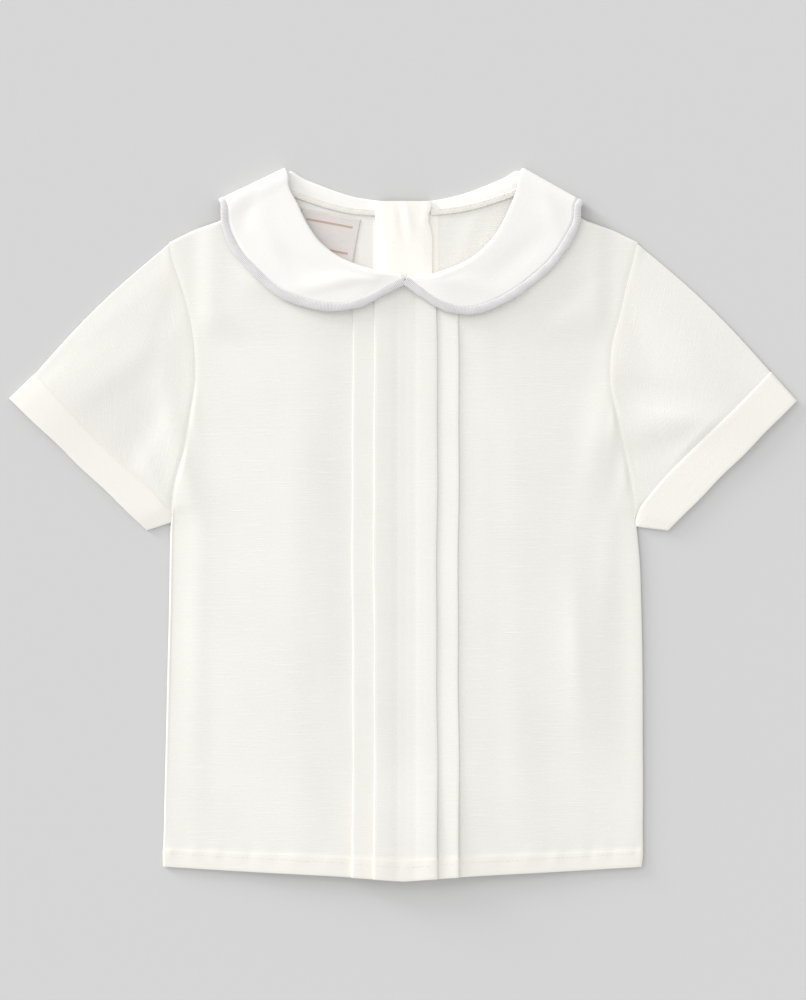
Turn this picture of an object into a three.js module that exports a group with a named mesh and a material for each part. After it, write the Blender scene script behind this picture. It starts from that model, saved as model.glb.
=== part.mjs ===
// A baby's short-sleeved blouse, laid flat on its back with the front up.
// Millimetres. X runs across to the wearer's left, Y from hem to neck, Z up from the surface it lies on.
// Each piece is a wall of cloth: a sheet of points given half the wall's thickness on both sides.
import * as THREE from "three";

// Cloth, the gap at seams, and the height from one layer of cloth to the next
const WALL = 1.0;
const GAP = 0.3;
const LEVEL = WALL + 0.36;
const FOLD_RADIUS = LEVEL / 2;
const FOLD_REACH = FOLD_RADIUS + WALL / 2;
const FOLD_STEPS = 4;

// Main sizes
const CENTRE_X = 1.2;
const SHOULDER_TIP_Y = 151.5;
const UNDERARM_Y = 7;
const CUFF_WALL = 1.3;
const EDGING_WIDTH = 4.3;
const NECK_SEAM_GAP = 0.5;

// Front tucks, each side of the centre: the stitched root and the folded edge, from the centre line
const TUCKS = [
  { root: 5.1, edge: 17.0 },
  { root: 17.6, edge: 28.6 },
];
const PANEL_START = TUCKS[1].root + FOLD_REACH;

// Back opening: both laps, the folded-back facing and the buttons under them, from the centre line
const PLACKET = { flat: 8, foot: 17, innerEdge: 14.4, facingEdge: -16.2, outerEdge: -10, lapStart: -11 };
// Between the ends of the two collar halves the laps reach up to the neck's edge
const LAP_TOP = { y: 173.2, start: -11.2, end: 11.4, step: 0.8 };
const BUTTON = { radius: 5, thickness: 1.8, rim: 0.5, dish: 0.5, pitch: 76, topY: 163.9, count: 5 };
const BUTTON_LIFT = BUTTON.thickness + GAP;

// Where the back leaf of the collar lies under the garment and lifts it by one level
const COLLAR_LIFT = { startY: 95, fullY: 115, fullX: 102, endX: 114 };
// Where the front lies one level higher, over the label and the neck facing
const NECK_LIFT = { startY: 115, fullY: 135, startX: 28.6, fullX: 36, highX: 75, endX: 95 };

// Heights of the rows of points, given at the side seam. The first is the hem, which has its own curve.
const HEM_ROW = -185;
const BODY_ROWS = [HEM_ROW, -150, -110, -70, -35, 0, 20, 40, 58, 76, 95, 115, 133, 142, SHOULDER_TIP_Y];

// Outline of the body: how far each side reaches at a height, up the side seam and then the armhole
const SIDE_LINE = [
  { y: -185, left: -129.7, right: 128.8 },
  { y: -100, left: -128.2, right: 127.4 },
  { y: 0, left: -126.0, right: 126.0 },
  { y: 20, left: -123.6, right: 123.1 },
  { y: 40, left: -118.4, right: 119.4 },
  { y: 58, left: -115.4, right: 115.2 },
  { y: 76, left: -112.6, right: 112.0 },
  { y: 95, left: -112.9, right: 112.6 },
  { y: 115, left: -116.2, right: 117.6 },
  { y: 133, left: -121.9, right: 121.8 },
  { y: 142, left: -124.8, right: 124.2 },
  { y: SHOULDER_TIP_Y, left: -126.4, right: 126.6 },
];
// The hem, lowest at the centre, and the shoulder line, which rises under the collar
const HEM_LINE = [
  { x: 0, y: -192.6 },
  { x: 31, y: -190.4 },
  { x: 83, y: -187.7 },
  { x: 130, y: -185.0 },
];
const SHOULDER_LINE = [
  { x: 76, y: 178.0 },
  { x: 86, y: 170.5 },
  { x: 99, y: 163.0 },
  { x: 113, y: 158.2 },
];

// Each collar half: the roll line at the neck, the outer edge of the leaf, and how high both lie.
// The front rows run from the centre front to the shoulder, the back rows from the shoulder to the centre back.
// seam is how far inside the leaf the neck seam lies, from the roll. The fold row gives the shoulder's outline.
const COLLAR_FRONT = {
  left: [
    { rollX: -1.2, rollY: 133.7, edgeX: -3.3, edgeY: 131.9, rollZ: 11.1, edgeZ: 11.1, seam: 1.8 },
    { rollX: -6.0, rollY: 135.1, edgeX: -12.5, edgeY: 126.1, rollZ: 11.3, edgeZ: 11.1, seam: 3.6 },
    { rollX: -13.6, rollY: 136.4, edgeX: -23.3, edgeY: 120.7, rollZ: 11.3, edgeZ: 9.4, seam: 4.8 },
    { rollX: -23.3, rollY: 139.1, edgeX: -36.8, edgeY: 118.3, rollZ: 10.9, edgeZ: 7.8, seam: 5.5 },
    { rollX: -33.6, rollY: 143.4, edgeX: -51.4, edgeY: 120.2, rollZ: 10.2, edgeZ: 6.8, seam: 5.5 },
    { rollX: -43.8, rollY: 151.0, edgeX: -66.0, edgeY: 126.1, rollZ: 9.4, edgeZ: 6.4, seam: 5.5 },
    { rollX: -51.4, rollY: 161.2, edgeX: -78.9, edgeY: 137.5, rollZ: 8.4, edgeZ: 6.1, seam: 5.5 },
    { rollX: -57.3, rollY: 173.1, edgeX: -88.7, edgeY: 148.8, rollZ: 7.3, edgeZ: 5.9, seam: 5.5 },
    { rollX: -61.7, rollY: 181.8, edgeX: -94.1, edgeY: 161.8, rollZ: 6.3, edgeZ: 5.8, seam: 5.5 },
  ],
  right: [
    { rollX: 3.1, rollY: 133.2, edgeX: 4.6, edgeY: 131.6, rollZ: 11.1, edgeZ: 11.1, seam: 1.8 },
    { rollX: 9.1, rollY: 133.6, edgeX: 12.0, edgeY: 125.0, rollZ: 11.3, edgeZ: 11.1, seam: 3.6 },
    { rollX: 16.6, rollY: 134.8, edgeX: 22.0, edgeY: 119.1, rollZ: 11.3, edgeZ: 9.9, seam: 4.8 },
    { rollX: 25.3, rollY: 137.8, edgeX: 35.0, edgeY: 116.4, rollZ: 10.9, edgeZ: 8.0, seam: 5.5 },
    { rollX: 35.0, rollY: 142.3, edgeX: 50.7, edgeY: 121.0, rollZ: 10.2, edgeZ: 6.8, seam: 5.5 },
    { rollX: 44.2, rollY: 149.6, edgeX: 65.2, edgeY: 129.9, rollZ: 9.4, edgeZ: 6.4, seam: 5.5 },
    { rollX: 51.7, rollY: 159.1, edgeX: 78.2, edgeY: 141.0, rollZ: 8.4, edgeZ: 6.1, seam: 5.5 },
    { rollX: 57.1, rollY: 169.9, edgeX: 86.4, edgeY: 152.2, rollZ: 7.3, edgeZ: 5.9, seam: 5.5 },
    { rollX: 61.2, rollY: 180.6, edgeX: 91.9, edgeY: 163.6, rollZ: 6.3, edgeZ: 5.8, seam: 5.5 },
  ],
};
const COLLAR_BACK = {
  left: [
    { rollX: -53.6, rollY: 186.1, edgeX: -84.6, edgeY: 149.4 },
    { rollX: -45.5, rollY: 182.8, edgeX: -69.2, edgeY: 141.8 },
    { rollX: -35.7, rollY: 179.1, edgeX: -51.4, edgeY: 139.1 },
    { rollX: -25.5, rollY: 176.1, edgeX: -34.1, edgeY: 139.1 },
    { rollX: -16.8, rollY: 174.7, edgeX: -21.2, edgeY: 141.3 },
    { rollX: -11.4, rollY: 174.0, edgeX: -12.4, edgeY: 147.7 },
  ],
  right: [
    { rollX: 54.4, rollY: 186.6, edgeX: 83.0, edgeY: 150.0 },
    { rollX: 46.3, rollY: 183.1, edgeX: 69.4, edgeY: 142.0 },
    { rollX: 36.9, rollY: 179.4, edgeX: 52.6, edgeY: 139.2 },
    { rollX: 27.2, rollY: 176.5, edgeX: 35.8, edgeY: 139.2 },
    { rollX: 19.0, rollY: 174.8, edgeX: 23.4, edgeY: 141.4 },
    { rollX: 13.8, rollY: 174.0, edgeX: 14.8, edgeY: 147.8 },
  ],
};
const COLLAR_FOLD = {
  left: { peakX: -63.8, peakY: 192.2, edgeX: -96.8, edgeY: 176.4 },
  right: { peakX: 64.4, peakY: 192.4, edgeX: 94.6, edgeY: 175.4 },
};
const FOLD_SEAM = 5.5;
const EDGING_TIP = { left: [0.2, 130.2], right: [2.0, 129.9] };

// Neck facing that shows inside the back of the neck: its width at the shoulder and at the placket
const FACING_WIDTH = { left: [11.0, 7.4], right: [11.0, 7.0] };
const LABEL = { x: -41.0, y: 154.9, width: 32.4, height: 24.4, turn: -0.184 };

// Seam from sleeve to cuff, from the shoulder fold to the underarm, and the cuff's free edge
const CUFF_SEAM = {
  left: [
    { x: -199.0, y: 81.0 },
    { x: -178.3, y: 58.1 },
    { x: -153.2, y: 32.4 },
    { x: -136.2, y: 17.8 },
    { x: -126.6, y: 7.2 },
  ],
  right: [
    { x: 199.0, y: 81.9 },
    { x: 178.5, y: 61.0 },
    { x: 153.8, y: 37.2 },
    { x: 136.8, y: 19.4 },
    { x: 127.0, y: 6.8 },
  ],
};
const CUFF_EDGE = {
  left: { topX: -212.8, topY: 67.8, lowX: -137.8, lowY: -4.0 },
  right: { topX: 212.7, topY: 66.7, lowX: 142.5, lowY: -4.0 },
};
const CUFF_CORNER = { left: { x: -126.4, y: 1.9 }, right: { x: 126.9, y: -0.2 } };
const SLEEVE_CROWN = 2.6;

// The largest soft swells of the upper layer, all upwards, in body and sleeves
const SWELLS = [
  { x: -78, y: -45, angle: 90, length: 115, width: 42, height: 1.1 },
  { x: 74, y: 5, angle: 90, length: 115, width: 40, height: 1.0 },
  { x: 96, y: -75, angle: 92, length: 60, width: 14, height: 1.1 },
  { x: -118, y: 34, angle: 104, length: 30, width: 7, height: 1.3 },
  { x: 107, y: 50, angle: 80, length: 34, width: 9, height: 1.2 },
  { x: -172, y: 78, angle: 45, length: 45, width: 20, height: 1.4 },
  { x: 160, y: 76, angle: -45, length: 45, width: 20, height: 1.4 },
  { x: 140, y: 52, angle: 8, length: 26, width: 9, height: 1.0 },
];
const SIDE_FADE = 16;

// Numbers that the shapes share
const SIDES = { left: -1, right: 1 };
const lerp = THREE.MathUtils.lerp;
const radians = THREE.MathUtils.degToRad;

function ramp(value, from, to) {
  return THREE.MathUtils.clamp((value - from) / (to - from), 0, 1);
}

// A column of a table at a place between its rows, held at the end rows' values beyond them
function between(rows, key, at, column) {
  if (at <= rows[0][key]) return rows[0][column];
  const upper = rows.findIndex((row) => row[key] >= at);
  if (upper < 0) return rows[rows.length - 1][column];
  const [a, b] = [rows[upper - 1], rows[upper]];
  return lerp(a[column], b[column], (at - a[key]) / (b[key] - a[key]));
}

// How far the buttons, the laps and the back leaf of the collar lift the garment off the surface
function lift(x, y) {
  const overButtons = 1 - ramp(Math.abs(x - CENTRE_X), PLACKET.flat, PLACKET.foot);
  const overCollar =
    ramp(y, COLLAR_LIFT.startY, COLLAR_LIFT.fullY) * ramp(Math.abs(x), COLLAR_LIFT.endX, COLLAR_LIFT.fullX);
  return lerp(overButtons * BUTTON_LIFT, lerp(LEVEL, BUTTON_LIFT, overButtons), overCollar);
}

// Middle of a layer of cloth, counted in levels from the surface
function layerZ(x, y, level) {
  return lift(x, y) + WALL / 2 + level * LEVEL;
}

// Extra level of the front where the label and the neck facing lie under it
function neckLevel(x, y) {
  const across = Math.abs(x);
  return (
    ramp(y, NECK_LIFT.startY, NECK_LIFT.fullY) *
    ramp(across, NECK_LIFT.startX, NECK_LIFT.fullX) *
    ramp(across, NECK_LIFT.endX, NECK_LIFT.highX)
  );
}

// Soft swells of the upper layer, none of them in the tucks or at the side seams
function drape(x, y) {
  const across = Math.abs(x - CENTRE_X);
  const side = x < 0 ? "left" : "right";
  const reach = Math.abs(between(SIDE_LINE, "y", y, side));
  const sideFade = y < UNDERARM_Y && across < reach ? ramp(reach - across, 0, SIDE_FADE) : 1;
  const fade = ramp(across, TUCKS[1].edge, TUCKS[1].edge + SIDE_FADE) * sideFade;
  const total = SWELLS.reduce((sum, swell) => {
    const turn = radians(swell.angle);
    const along = (x - swell.x) * Math.cos(turn) + (y - swell.y) * Math.sin(turn);
    const over = (y - swell.y) * Math.cos(turn) - (x - swell.x) * Math.sin(turn);
    return sum + swell.height * Math.exp(-((along / swell.length) ** 2) - (over / swell.width) ** 2);
  }, 0);
  return total * fade;
}

// A closed wall round a grid of points: rows of THREE.Vector3, or rings when the rows close on themselves
function wallGeometry(grid, thickness, ring = false) {
  const [rows, columns] = [grid.length, grid[0].length];
  const nextColumn = (j) => (ring ? (j + 1) % columns : Math.min(j + 1, columns - 1));
  const lastColumn = (j) => (ring ? (j + columns - 1) % columns : Math.max(j - 1, 0));
  const outer = [];
  const inner = [];
  for (let i = 0; i < rows; i++)
    for (let j = 0; j < columns; j++) {
      const across = grid[i][nextColumn(j)].clone().sub(grid[i][lastColumn(j)]);
      const along = grid[Math.min(i + 1, rows - 1)][j].clone().sub(grid[Math.max(i - 1, 0)][j]);
      const half = across.cross(along).normalize().multiplyScalar(thickness / 2);
      outer.push(grid[i][j].clone().add(half));
      inner.push(grid[i][j].clone().sub(half));
    }
  const points = [...outer, ...inner];
  const at = (i, j, side) => side * rows * columns + i * columns + j;
  const index = [];
  const quad = (a, b, c, d) => index.push(a, b, c, a, c, d);
  const cells = ring ? columns : columns - 1;
  for (let i = 0; i < rows - 1; i++)
    for (let j = 0; j < cells; j++) {
      const k = nextColumn(j);
      quad(at(i, j, 0), at(i, k, 0), at(i + 1, k, 0), at(i + 1, j, 0));
      quad(at(i, j, 1), at(i + 1, j, 1), at(i + 1, k, 1), at(i, k, 1));
    }
  for (let j = 0; j < cells; j++) {
    const k = nextColumn(j);
    quad(at(0, j, 1), at(0, k, 1), at(0, k, 0), at(0, j, 0));
    quad(at(rows - 1, j, 0), at(rows - 1, k, 0), at(rows - 1, k, 1), at(rows - 1, j, 1));
  }
  if (!ring)
    for (let i = 0; i < rows - 1; i++) {
      quad(at(i, 0, 0), at(i + 1, 0, 0), at(i + 1, 0, 1), at(i, 0, 1));
      const last = columns - 1;
      quad(at(i, last, 1), at(i + 1, last, 1), at(i + 1, last, 0), at(i, last, 0));
    }
  const geometry = new THREE.BufferGeometry();
  geometry.setAttribute(
    "position",
    new THREE.Float32BufferAttribute(
      points.flatMap((p) => [p.x, p.y, p.z]),
      3,
    ),
  );
  geometry.setIndex(index);
  geometry.computeVertexNormals();
  return geometry;
}

// A wall that faces up when its rows run from left to right, so the left pieces' rows are turned round
function mirrored(grid, side) {
  return side === "left" ? grid.map((row) => [...row].reverse()) : grid;
}

// Neck seam points of one collar half, where the leaf's inside meets the body, in plan
function seamPoint(row, beyond = 0) {
  const leaf = new THREE.Vector2(row.edgeX - row.rollX, row.edgeY - row.rollY).normalize();
  return new THREE.Vector2(row.rollX, row.rollY).addScaledVector(leaf, (row.seam ?? FOLD_SEAM) + beyond);
}

// The axis round which the collar turns over the shoulder, from the front leaf to the back leaf
function foldAxis(side) {
  const fold = COLLAR_FOLD[side];
  const along = new THREE.Vector2(fold.edgeX - fold.peakX, fold.edgeY - fold.peakY);
  const length = along.length();
  along.normalize();
  const outward = new THREE.Vector2(along.y, -along.x).multiplyScalar(SIDES[side]);
  if (outward.y < 0) outward.negate();
  const radius = 2 * LEVEL;
  const start = new THREE.Vector2(fold.peakX, fold.peakY).addScaledVector(outward, -radius - WALL / 2);
  return { start, along, outward, length, radius, z: WALL / 2 + radius };
}

function foldSeam(side, beyond = 0) {
  const axis = foldAxis(side);
  return axis.start.clone().addScaledVector(axis.along, FOLD_SEAM + beyond);
}

// Upper outline of the front or back panel on one side, from the centre out to the shoulder tip
function topLine(side, collarRows) {
  const sign = SIDES[side];
  const neck = collarRows.map((row) => seamPoint(row, NECK_SEAM_GAP));
  const points = [...neck, foldSeam(side, NECK_SEAM_GAP)].map((p) => ({ x: sign * p.x, y: p.y }));
  const tip = { x: Math.abs(between(SIDE_LINE, "y", SHOULDER_TIP_Y, side)), y: SHOULDER_TIP_Y };
  return [...points, ...SHOULDER_LINE, tip];
}

const FRONT_TOP = {
  left: topLine("left", COLLAR_FRONT.left),
  right: topLine("right", COLLAR_FRONT.right),
};
const BACK_TOP = {
  left: topLine("left", [...COLLAR_BACK.left].reverse()),
  right: topLine("right", [...COLLAR_BACK.right].reverse()),
};

function hemY(x) {
  return between(HEM_LINE, "x", Math.abs(x), "y");
}

// Height of a row of points at x: the hem has its own curve, and rows above the lift are spread up to the top
function rowY(row, x, topY) {
  if (row === HEM_ROW) return hemY(x);
  if (row <= COLLAR_LIFT.fullY) return row;
  return lerp(COLLAR_LIFT.fullY, topY, ramp(row, COLLAR_LIFT.fullY, SHOULDER_TIP_Y));
}

// Plan points of one side of the front or back, from the edge of the tucks to the side seam and armhole
function sidePanel(side, row, top) {
  const sign = SIDES[side];
  const start = Math.abs(CENTRE_X + sign * PANEL_START);
  const tip = top[top.length - 1].x;
  const reach = Math.abs(between(SIDE_LINE, "y", row, side));
  const stations = [start, ...top.map((p) => p.x).filter((x) => x > start + 2)];
  return stations.map((station) => {
    const across = lerp(start, reach, (station - start) / (tip - start));
    const y = rowY(row, across, between(top, "x", across, "y"));
    return new THREE.Vector2(sign * across, y);
  });
}

function topAt(tops, x) {
  const top = x < CENTRE_X ? tops.left : tops.right;
  return between(top, "x", Math.abs(x), "y");
}

// One side of the front from the centre out: over both tucks, each folded under and back to its root
function tuckPath() {
  const path = [
    { c: 0, level: 5 },
    { c: PLACKET.flat, level: 5 },
  ];
  const turn = (c, level, bulge) => {
    for (let k = 0; k <= FOLD_STEPS; k++) {
      const angle = (Math.PI * k) / FOLD_STEPS;
      const out = bulge * FOLD_RADIUS * Math.sin(angle);
      path.push({ c: c + out, at: c, level: level - 0.5 + 0.5 * Math.cos(angle) });
    }
  };
  turn(TUCKS[0].edge - FOLD_REACH, 5, 1);
  path.push({ c: PLACKET.flat, level: 4 });
  turn(TUCKS[0].root + FOLD_REACH, 4, -1);
  path.push({ c: PLACKET.flat, level: 3 }, { c: PLACKET.foot, level: 3 });
  turn(TUCKS[1].edge - FOLD_REACH, 3, 1);
  turn(TUCKS[1].root + FOLD_REACH, 2, -1);
  return path;
}

function frontGrid() {
  const path = tuckPath();
  return BODY_ROWS.map((row) => {
    const half = (side) => {
      const sign = SIDES[side];
      const tucks = path.map(({ c, at, level }) => {
        const x = CENTRE_X + sign * c;
        const y = rowY(row, x, topAt(FRONT_TOP, x));
        return new THREE.Vector3(x, y, layerZ(CENTRE_X + sign * (at ?? c), y, level));
      });
      const panel = sidePanel(side, row, FRONT_TOP[side]).slice(1);
      return [...tucks, ...panel.map((p) => new THREE.Vector3(p.x, p.y, frontZ(p.x, p.y)))];
    };
    return [...half("left").reverse(), ...half("right").slice(1)];
  });
}

// Middle of the front's wall outside the tucks
function frontZ(x, y) {
  return layerZ(x, y, 1 + neckLevel(x, y)) + drape(x, y);
}

// One half of the back, from the side seam to its lap at the centre
function backGrid(side, laps) {
  const sign = SIDES[side];
  return BODY_ROWS.map((row) => {
    const panel = sidePanel(side, row, BACK_TOP[side]).reverse();
    const points = panel.map((p) => new THREE.Vector3(p.x, p.y, layerZ(p.x, p.y, 0)));
    laps.forEach(({ c, at, level, toNeck }) => {
      const x = CENTRE_X + c;
      const y = rowY(row, x, toNeck ? LAP_TOP.y : topAt(BACK_TOP, x));
      points.push(new THREE.Vector3(x, y, layerZ(CENTRE_X + (at ?? c), y, level)));
    });
    return sign < 0 ? points : points.reverse();
  });
}

// The upper lap lies over the other one, and its edge folds back inwards as the button facing
function innerLap() {
  const turnAt = PLACKET.innerEdge - FOLD_REACH;
  const belowNeck = LAP_TOP.start - LAP_TOP.step;
  const risingLevel = (c) => ramp(c, -PLACKET.foot, PLACKET.lapStart);
  const path = [
    { c: -PLACKET.foot, level: 0 },
    { c: belowNeck, level: risingLevel(belowNeck) },
    { c: LAP_TOP.start, level: risingLevel(LAP_TOP.start), toNeck: true },
    { c: -PLACKET.flat, level: 1, toNeck: true },
    { c: PLACKET.flat, level: 1, toNeck: true },
  ];
  for (let k = 0; k <= FOLD_STEPS; k++) {
    const angle = (Math.PI * k) / FOLD_STEPS;
    path.push({
      c: turnAt + FOLD_RADIUS * Math.sin(angle),
      at: turnAt,
      level: 1.5 - 0.5 * Math.cos(angle),
      toNeck: true,
    });
  }
  path.push(
    { c: PLACKET.flat, level: 2, toNeck: true },
    { c: -PLACKET.flat, level: 2, toNeck: true },
    { c: PLACKET.lapStart, level: 2, toNeck: true },
    { c: PLACKET.facingEdge, level: 1 + risingLevel(PLACKET.facingEdge), toNeck: true },
  );
  return path;
}

function outerLap() {
  const toNeck = true;
  return [
    { c: PLACKET.foot, level: 0 },
    { c: LAP_TOP.end + LAP_TOP.step, level: 0 },
    { c: LAP_TOP.end, level: 0, toNeck },
    { c: PLACKET.flat, level: 0, toNeck },
    { c: -PLACKET.flat, level: 0, toNeck },
    { c: PLACKET.outerEdge, level: 0, toNeck },
  ];
}

// Section of the collar across its length: the stand from the neck seam, the roll, and the leaf to its edge.
// s runs from the roll line to the outer edge.
function collarSection(width, seam, standZ, rollZ, edgeZ) {
  const radius = (rollZ - standZ) / 2;
  const centre = radius + WALL / 2;
  const section = [{ s: seam, z: standZ }];
  for (let k = 0; k <= FOLD_STEPS; k++) {
    const angle = (Math.PI * k) / FOLD_STEPS;
    section.push({
      s: centre - radius * Math.sin(angle),
      z: standZ + radius * (1 - Math.cos(angle)),
    });
  }
  const leafSteps = 4;
  for (let k = 1; k <= leafSteps; k++) {
    const share = k / leafSteps;
    section.push({ s: lerp(centre, width, share), z: lerp(rollZ, edgeZ, share) });
  }
  return section;
}

// Height of the collar's stand at the neck seam, next to the edge of the front
function frontStandZ(x, y) {
  const overTucks = ramp(Math.abs(x - CENTRE_X), TUCKS[1].edge, TUCKS[0].edge - 4);
  return lerp(frontZ(x, y), layerZ(x, y, 5), overTucks);
}

// Height of the stand at the back, next to the edge of the back panel
function backStandZ(side, x, y) {
  const onInnerLap = side === "left" ? ramp(x - CENTRE_X, -PLACKET.foot, PLACKET.lapStart) : 0;
  return layerZ(x, y, onInnerLap);
}

function collarGrid(side) {
  const planRow = (row, standZ, rollZ, edgeZ) => {
    const roll = new THREE.Vector2(row.rollX, row.rollY);
    const leaf = new THREE.Vector2(row.edgeX, row.edgeY).sub(roll);
    const width = leaf.length();
    leaf.normalize();
    return collarSection(width, row.seam ?? FOLD_SEAM, standZ, rollZ, edgeZ).map(({ s, z }) => {
      const p = roll.clone().addScaledVector(leaf, s);
      return new THREE.Vector3(p.x, p.y, z);
    });
  };
  const front = COLLAR_FRONT[side].map((row) => {
    const seam = seamPoint(row);
    return planRow(row, frontStandZ(seam.x, seam.y), row.rollZ, row.edgeZ);
  });
  const axis = foldAxis(side);
  const section = collarSection(axis.length, FOLD_SEAM, LEVEL, axis.radius, axis.radius);
  const turnSteps = 4;
  const turned = [];
  for (let k = 0; k <= turnSteps; k++) {
    const angle = Math.PI / 2 - (Math.PI * k) / turnSteps;
    turned.push(
      section.map(({ s, z: reach }) => {
        const p = axis.start.clone().addScaledVector(axis.along, s);
        p.addScaledVector(axis.outward, reach * Math.cos(angle));
        return new THREE.Vector3(p.x, p.y, axis.z + reach * Math.sin(angle));
      }),
    );
  }
  const back = COLLAR_BACK[side].map((row) => {
    const seam = seamPoint(row);
    const standZ = backStandZ(side, seam.x, seam.y);
    // On the surface the leaf lies below the stand, so its section is turned over
    const flipped = planRow(row, -standZ, -WALL / 2, -WALL / 2);
    return flipped.map((p) => new THREE.Vector3(p.x, p.y, -p.z));
  });
  return [...front, ...turned, ...back];
}

// The overlocked edge, a narrow band beyond the leaf's outer edge
function edgingGrid(side, collar) {
  return collar.map((row, i) => {
    const edge = row[row.length - 1];
    const before = collar[Math.max(i - 1, 0)];
    const after = collar[Math.min(i + 1, collar.length - 1)];
    const along = after[after.length - 1].clone().sub(before[before.length - 1]).normalize();
    const out = edge.clone().sub(row[row.length - 2]);
    out.addScaledVector(along, -out.dot(along)).normalize();
    const inner = edge.clone().addScaledVector(out, GAP + 0.1);
    const outer = edge.clone().addScaledVector(out, GAP + EDGING_WIDTH);
    if (i === 0) outer.set(...EDGING_TIP[side], edge.z);
    return [inner, outer];
  });
}

// The facing that covers the neck seam inside the back, on the stand and the panel
function facingGrid(side) {
  const sign = SIDES[side];
  const limit = side === "left" ? -PLACKET.facingEdge + FOLD_REACH / 2 : PLACKET.foot;
  const rows = COLLAR_BACK[side].filter((row) => sign * (row.rollX - CENTRE_X) > limit);
  const [atShoulder, atPlacket] = FACING_WIDTH[side];
  const steps = 2;
  return rows.map((row, i) => {
    const width = lerp(atShoulder, atPlacket, i / (rows.length - 1));
    const roll = new THREE.Vector2(row.rollX, row.rollY);
    const leaf = new THREE.Vector2(row.edgeX, row.edgeY).sub(roll).normalize();
    return Array.from({ length: steps + 1 }, (_, k) => {
      const p = roll.clone().addScaledVector(leaf, FOLD_REACH + (width * k) / steps);
      return new THREE.Vector3(p.x, p.y, layerZ(p.x, p.y, 1));
    });
  });
}

function labelGrid() {
  return [-0.5, 0.5].map((v) =>
    [-0.5, 0.5].map((u) => {
      const place = new THREE.Vector2(u * LABEL.width, v * LABEL.height);
      place.rotateAround(new THREE.Vector2(), LABEL.turn);
      const [x, y] = [LABEL.x + place.x, LABEL.y + place.y];
      return new THREE.Vector3(x, y, layerZ(x, y, 1));
    }),
  );
}

// Points of one side's armhole seam, from the shoulder tip down to the underarm
function armhole(side) {
  const rows = BODY_ROWS.filter((row) => row > UNDERARM_Y).reverse();
  const points = rows.map((row) => {
    const panel = sidePanel(side, row, FRONT_TOP[side]);
    return panel[panel.length - 1];
  });
  points.push(new THREE.Vector2(between(SIDE_LINE, "y", UNDERARM_Y, side), UNDERARM_Y));
  return points.map((p) => new THREE.Vector2(p.x + SIDES[side] * GAP, p.y));
}

// As many points, evenly spaced, along a table's line
function alongLine(rows, count) {
  const line = new THREE.CurvePath();
  rows.slice(1).forEach((row, i) => {
    const [a, b] = [rows[i], row];
    line.add(new THREE.LineCurve(new THREE.Vector2(a.x, a.y), new THREE.Vector2(b.x, b.y)));
  });
  return Array.from({ length: count }, (_, k) => line.getPointAt(k / (count - 1)));
}

// A flattened tube through plan lines that run from its top fold to its lower fold, one for each ring
function tubeGrid(lines, topZ, lowZ, reach) {
  return lines.map((line) => {
    const firstWay = line[0].clone().sub(line[1]).normalize();
    const lastWay = line[line.length - 1].clone().sub(line[line.length - 2]).normalize();
    const inset = line.map((p, j) => {
      if (j === 0) return p.clone().addScaledVector(firstWay, -reach);
      if (j === line.length - 1) return p.clone().addScaledVector(lastWay, -reach);
      return p;
    });
    const upper = inset.map((p) => new THREE.Vector3(p.x, p.y, topZ(p.x, p.y)));
    const lower = inset.map((p) => new THREE.Vector3(p.x, p.y, lowZ(p.x, p.y))).reverse();
    const fold = (from, to, way) => {
      const radius = (from.z - to.z) / 2;
      const points = [];
      for (let k = 1; k < FOLD_STEPS; k++) {
        const angle = (Math.PI * k) / FOLD_STEPS;
        const p = new THREE.Vector3(from.x, from.y, to.z + radius + radius * Math.cos(angle));
        p.x += way.x * Math.abs(radius) * Math.sin(angle);
        p.y += way.y * Math.abs(radius) * Math.sin(angle);
        points.push(p);
      }
      return points;
    };
    return [
      ...upper,
      ...fold(upper[upper.length - 1], lower[0], lastWay),
      ...lower,
      ...fold(lower[lower.length - 1], upper[0], firstWay),
    ];
  });
}

function sleeveLines(side) {
  const root = armhole(side);
  const seam = alongLine(CUFF_SEAM[side], root.length);
  const steps = 5;
  const crownWay = new THREE.Vector2(SIDES[side], 1).normalize();
  return Array.from({ length: steps + 1 }, (_, k) => {
    const share = k / steps;
    return root.map((p, j) => {
      const upper = (1 - j / (root.length - 1)) ** 2;
      const crown = SLEEVE_CROWN * Math.sin(Math.PI * share) * upper;
      return p.clone().lerp(seam[j], share).addScaledVector(crownWay, crown);
    });
  });
}

function cuffLines(side) {
  const count = armhole(side).length;
  const edge = CUFF_EDGE[side];
  const top = new THREE.Vector2(edge.topX, edge.topY);
  const low = new THREE.Vector2(edge.lowX, edge.lowY);
  const corner = new THREE.Vector2(CUFF_CORNER[side].x, CUFF_CORNER[side].y);
  const outward = new THREE.Vector2(top.y - low.y, low.x - top.x).normalize();
  if (outward.y > 0) outward.negate();
  const seam = alongLine(CUFF_SEAM[side], count).map((p, j) => {
    const apart = 1.5 * GAP * (1 + (j / (count - 1)) ** 8);
    return p.clone().addScaledVector(outward, apart);
  });
  const ends = [seam[count - 1], corner, corner.clone().lerp(low, 0.5), low];
  return ends.map((end, k) => {
    const share = k / (ends.length - 1);
    const slip = end.clone().sub(seam[count - 1].clone().lerp(low, share));
    return seam.map((p, j) => {
      const part = j / (count - 1);
      const place = p.clone().lerp(top.clone().lerp(low, part), share);
      return place.addScaledVector(slip, part ** 6);
    });
  });
}

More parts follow.
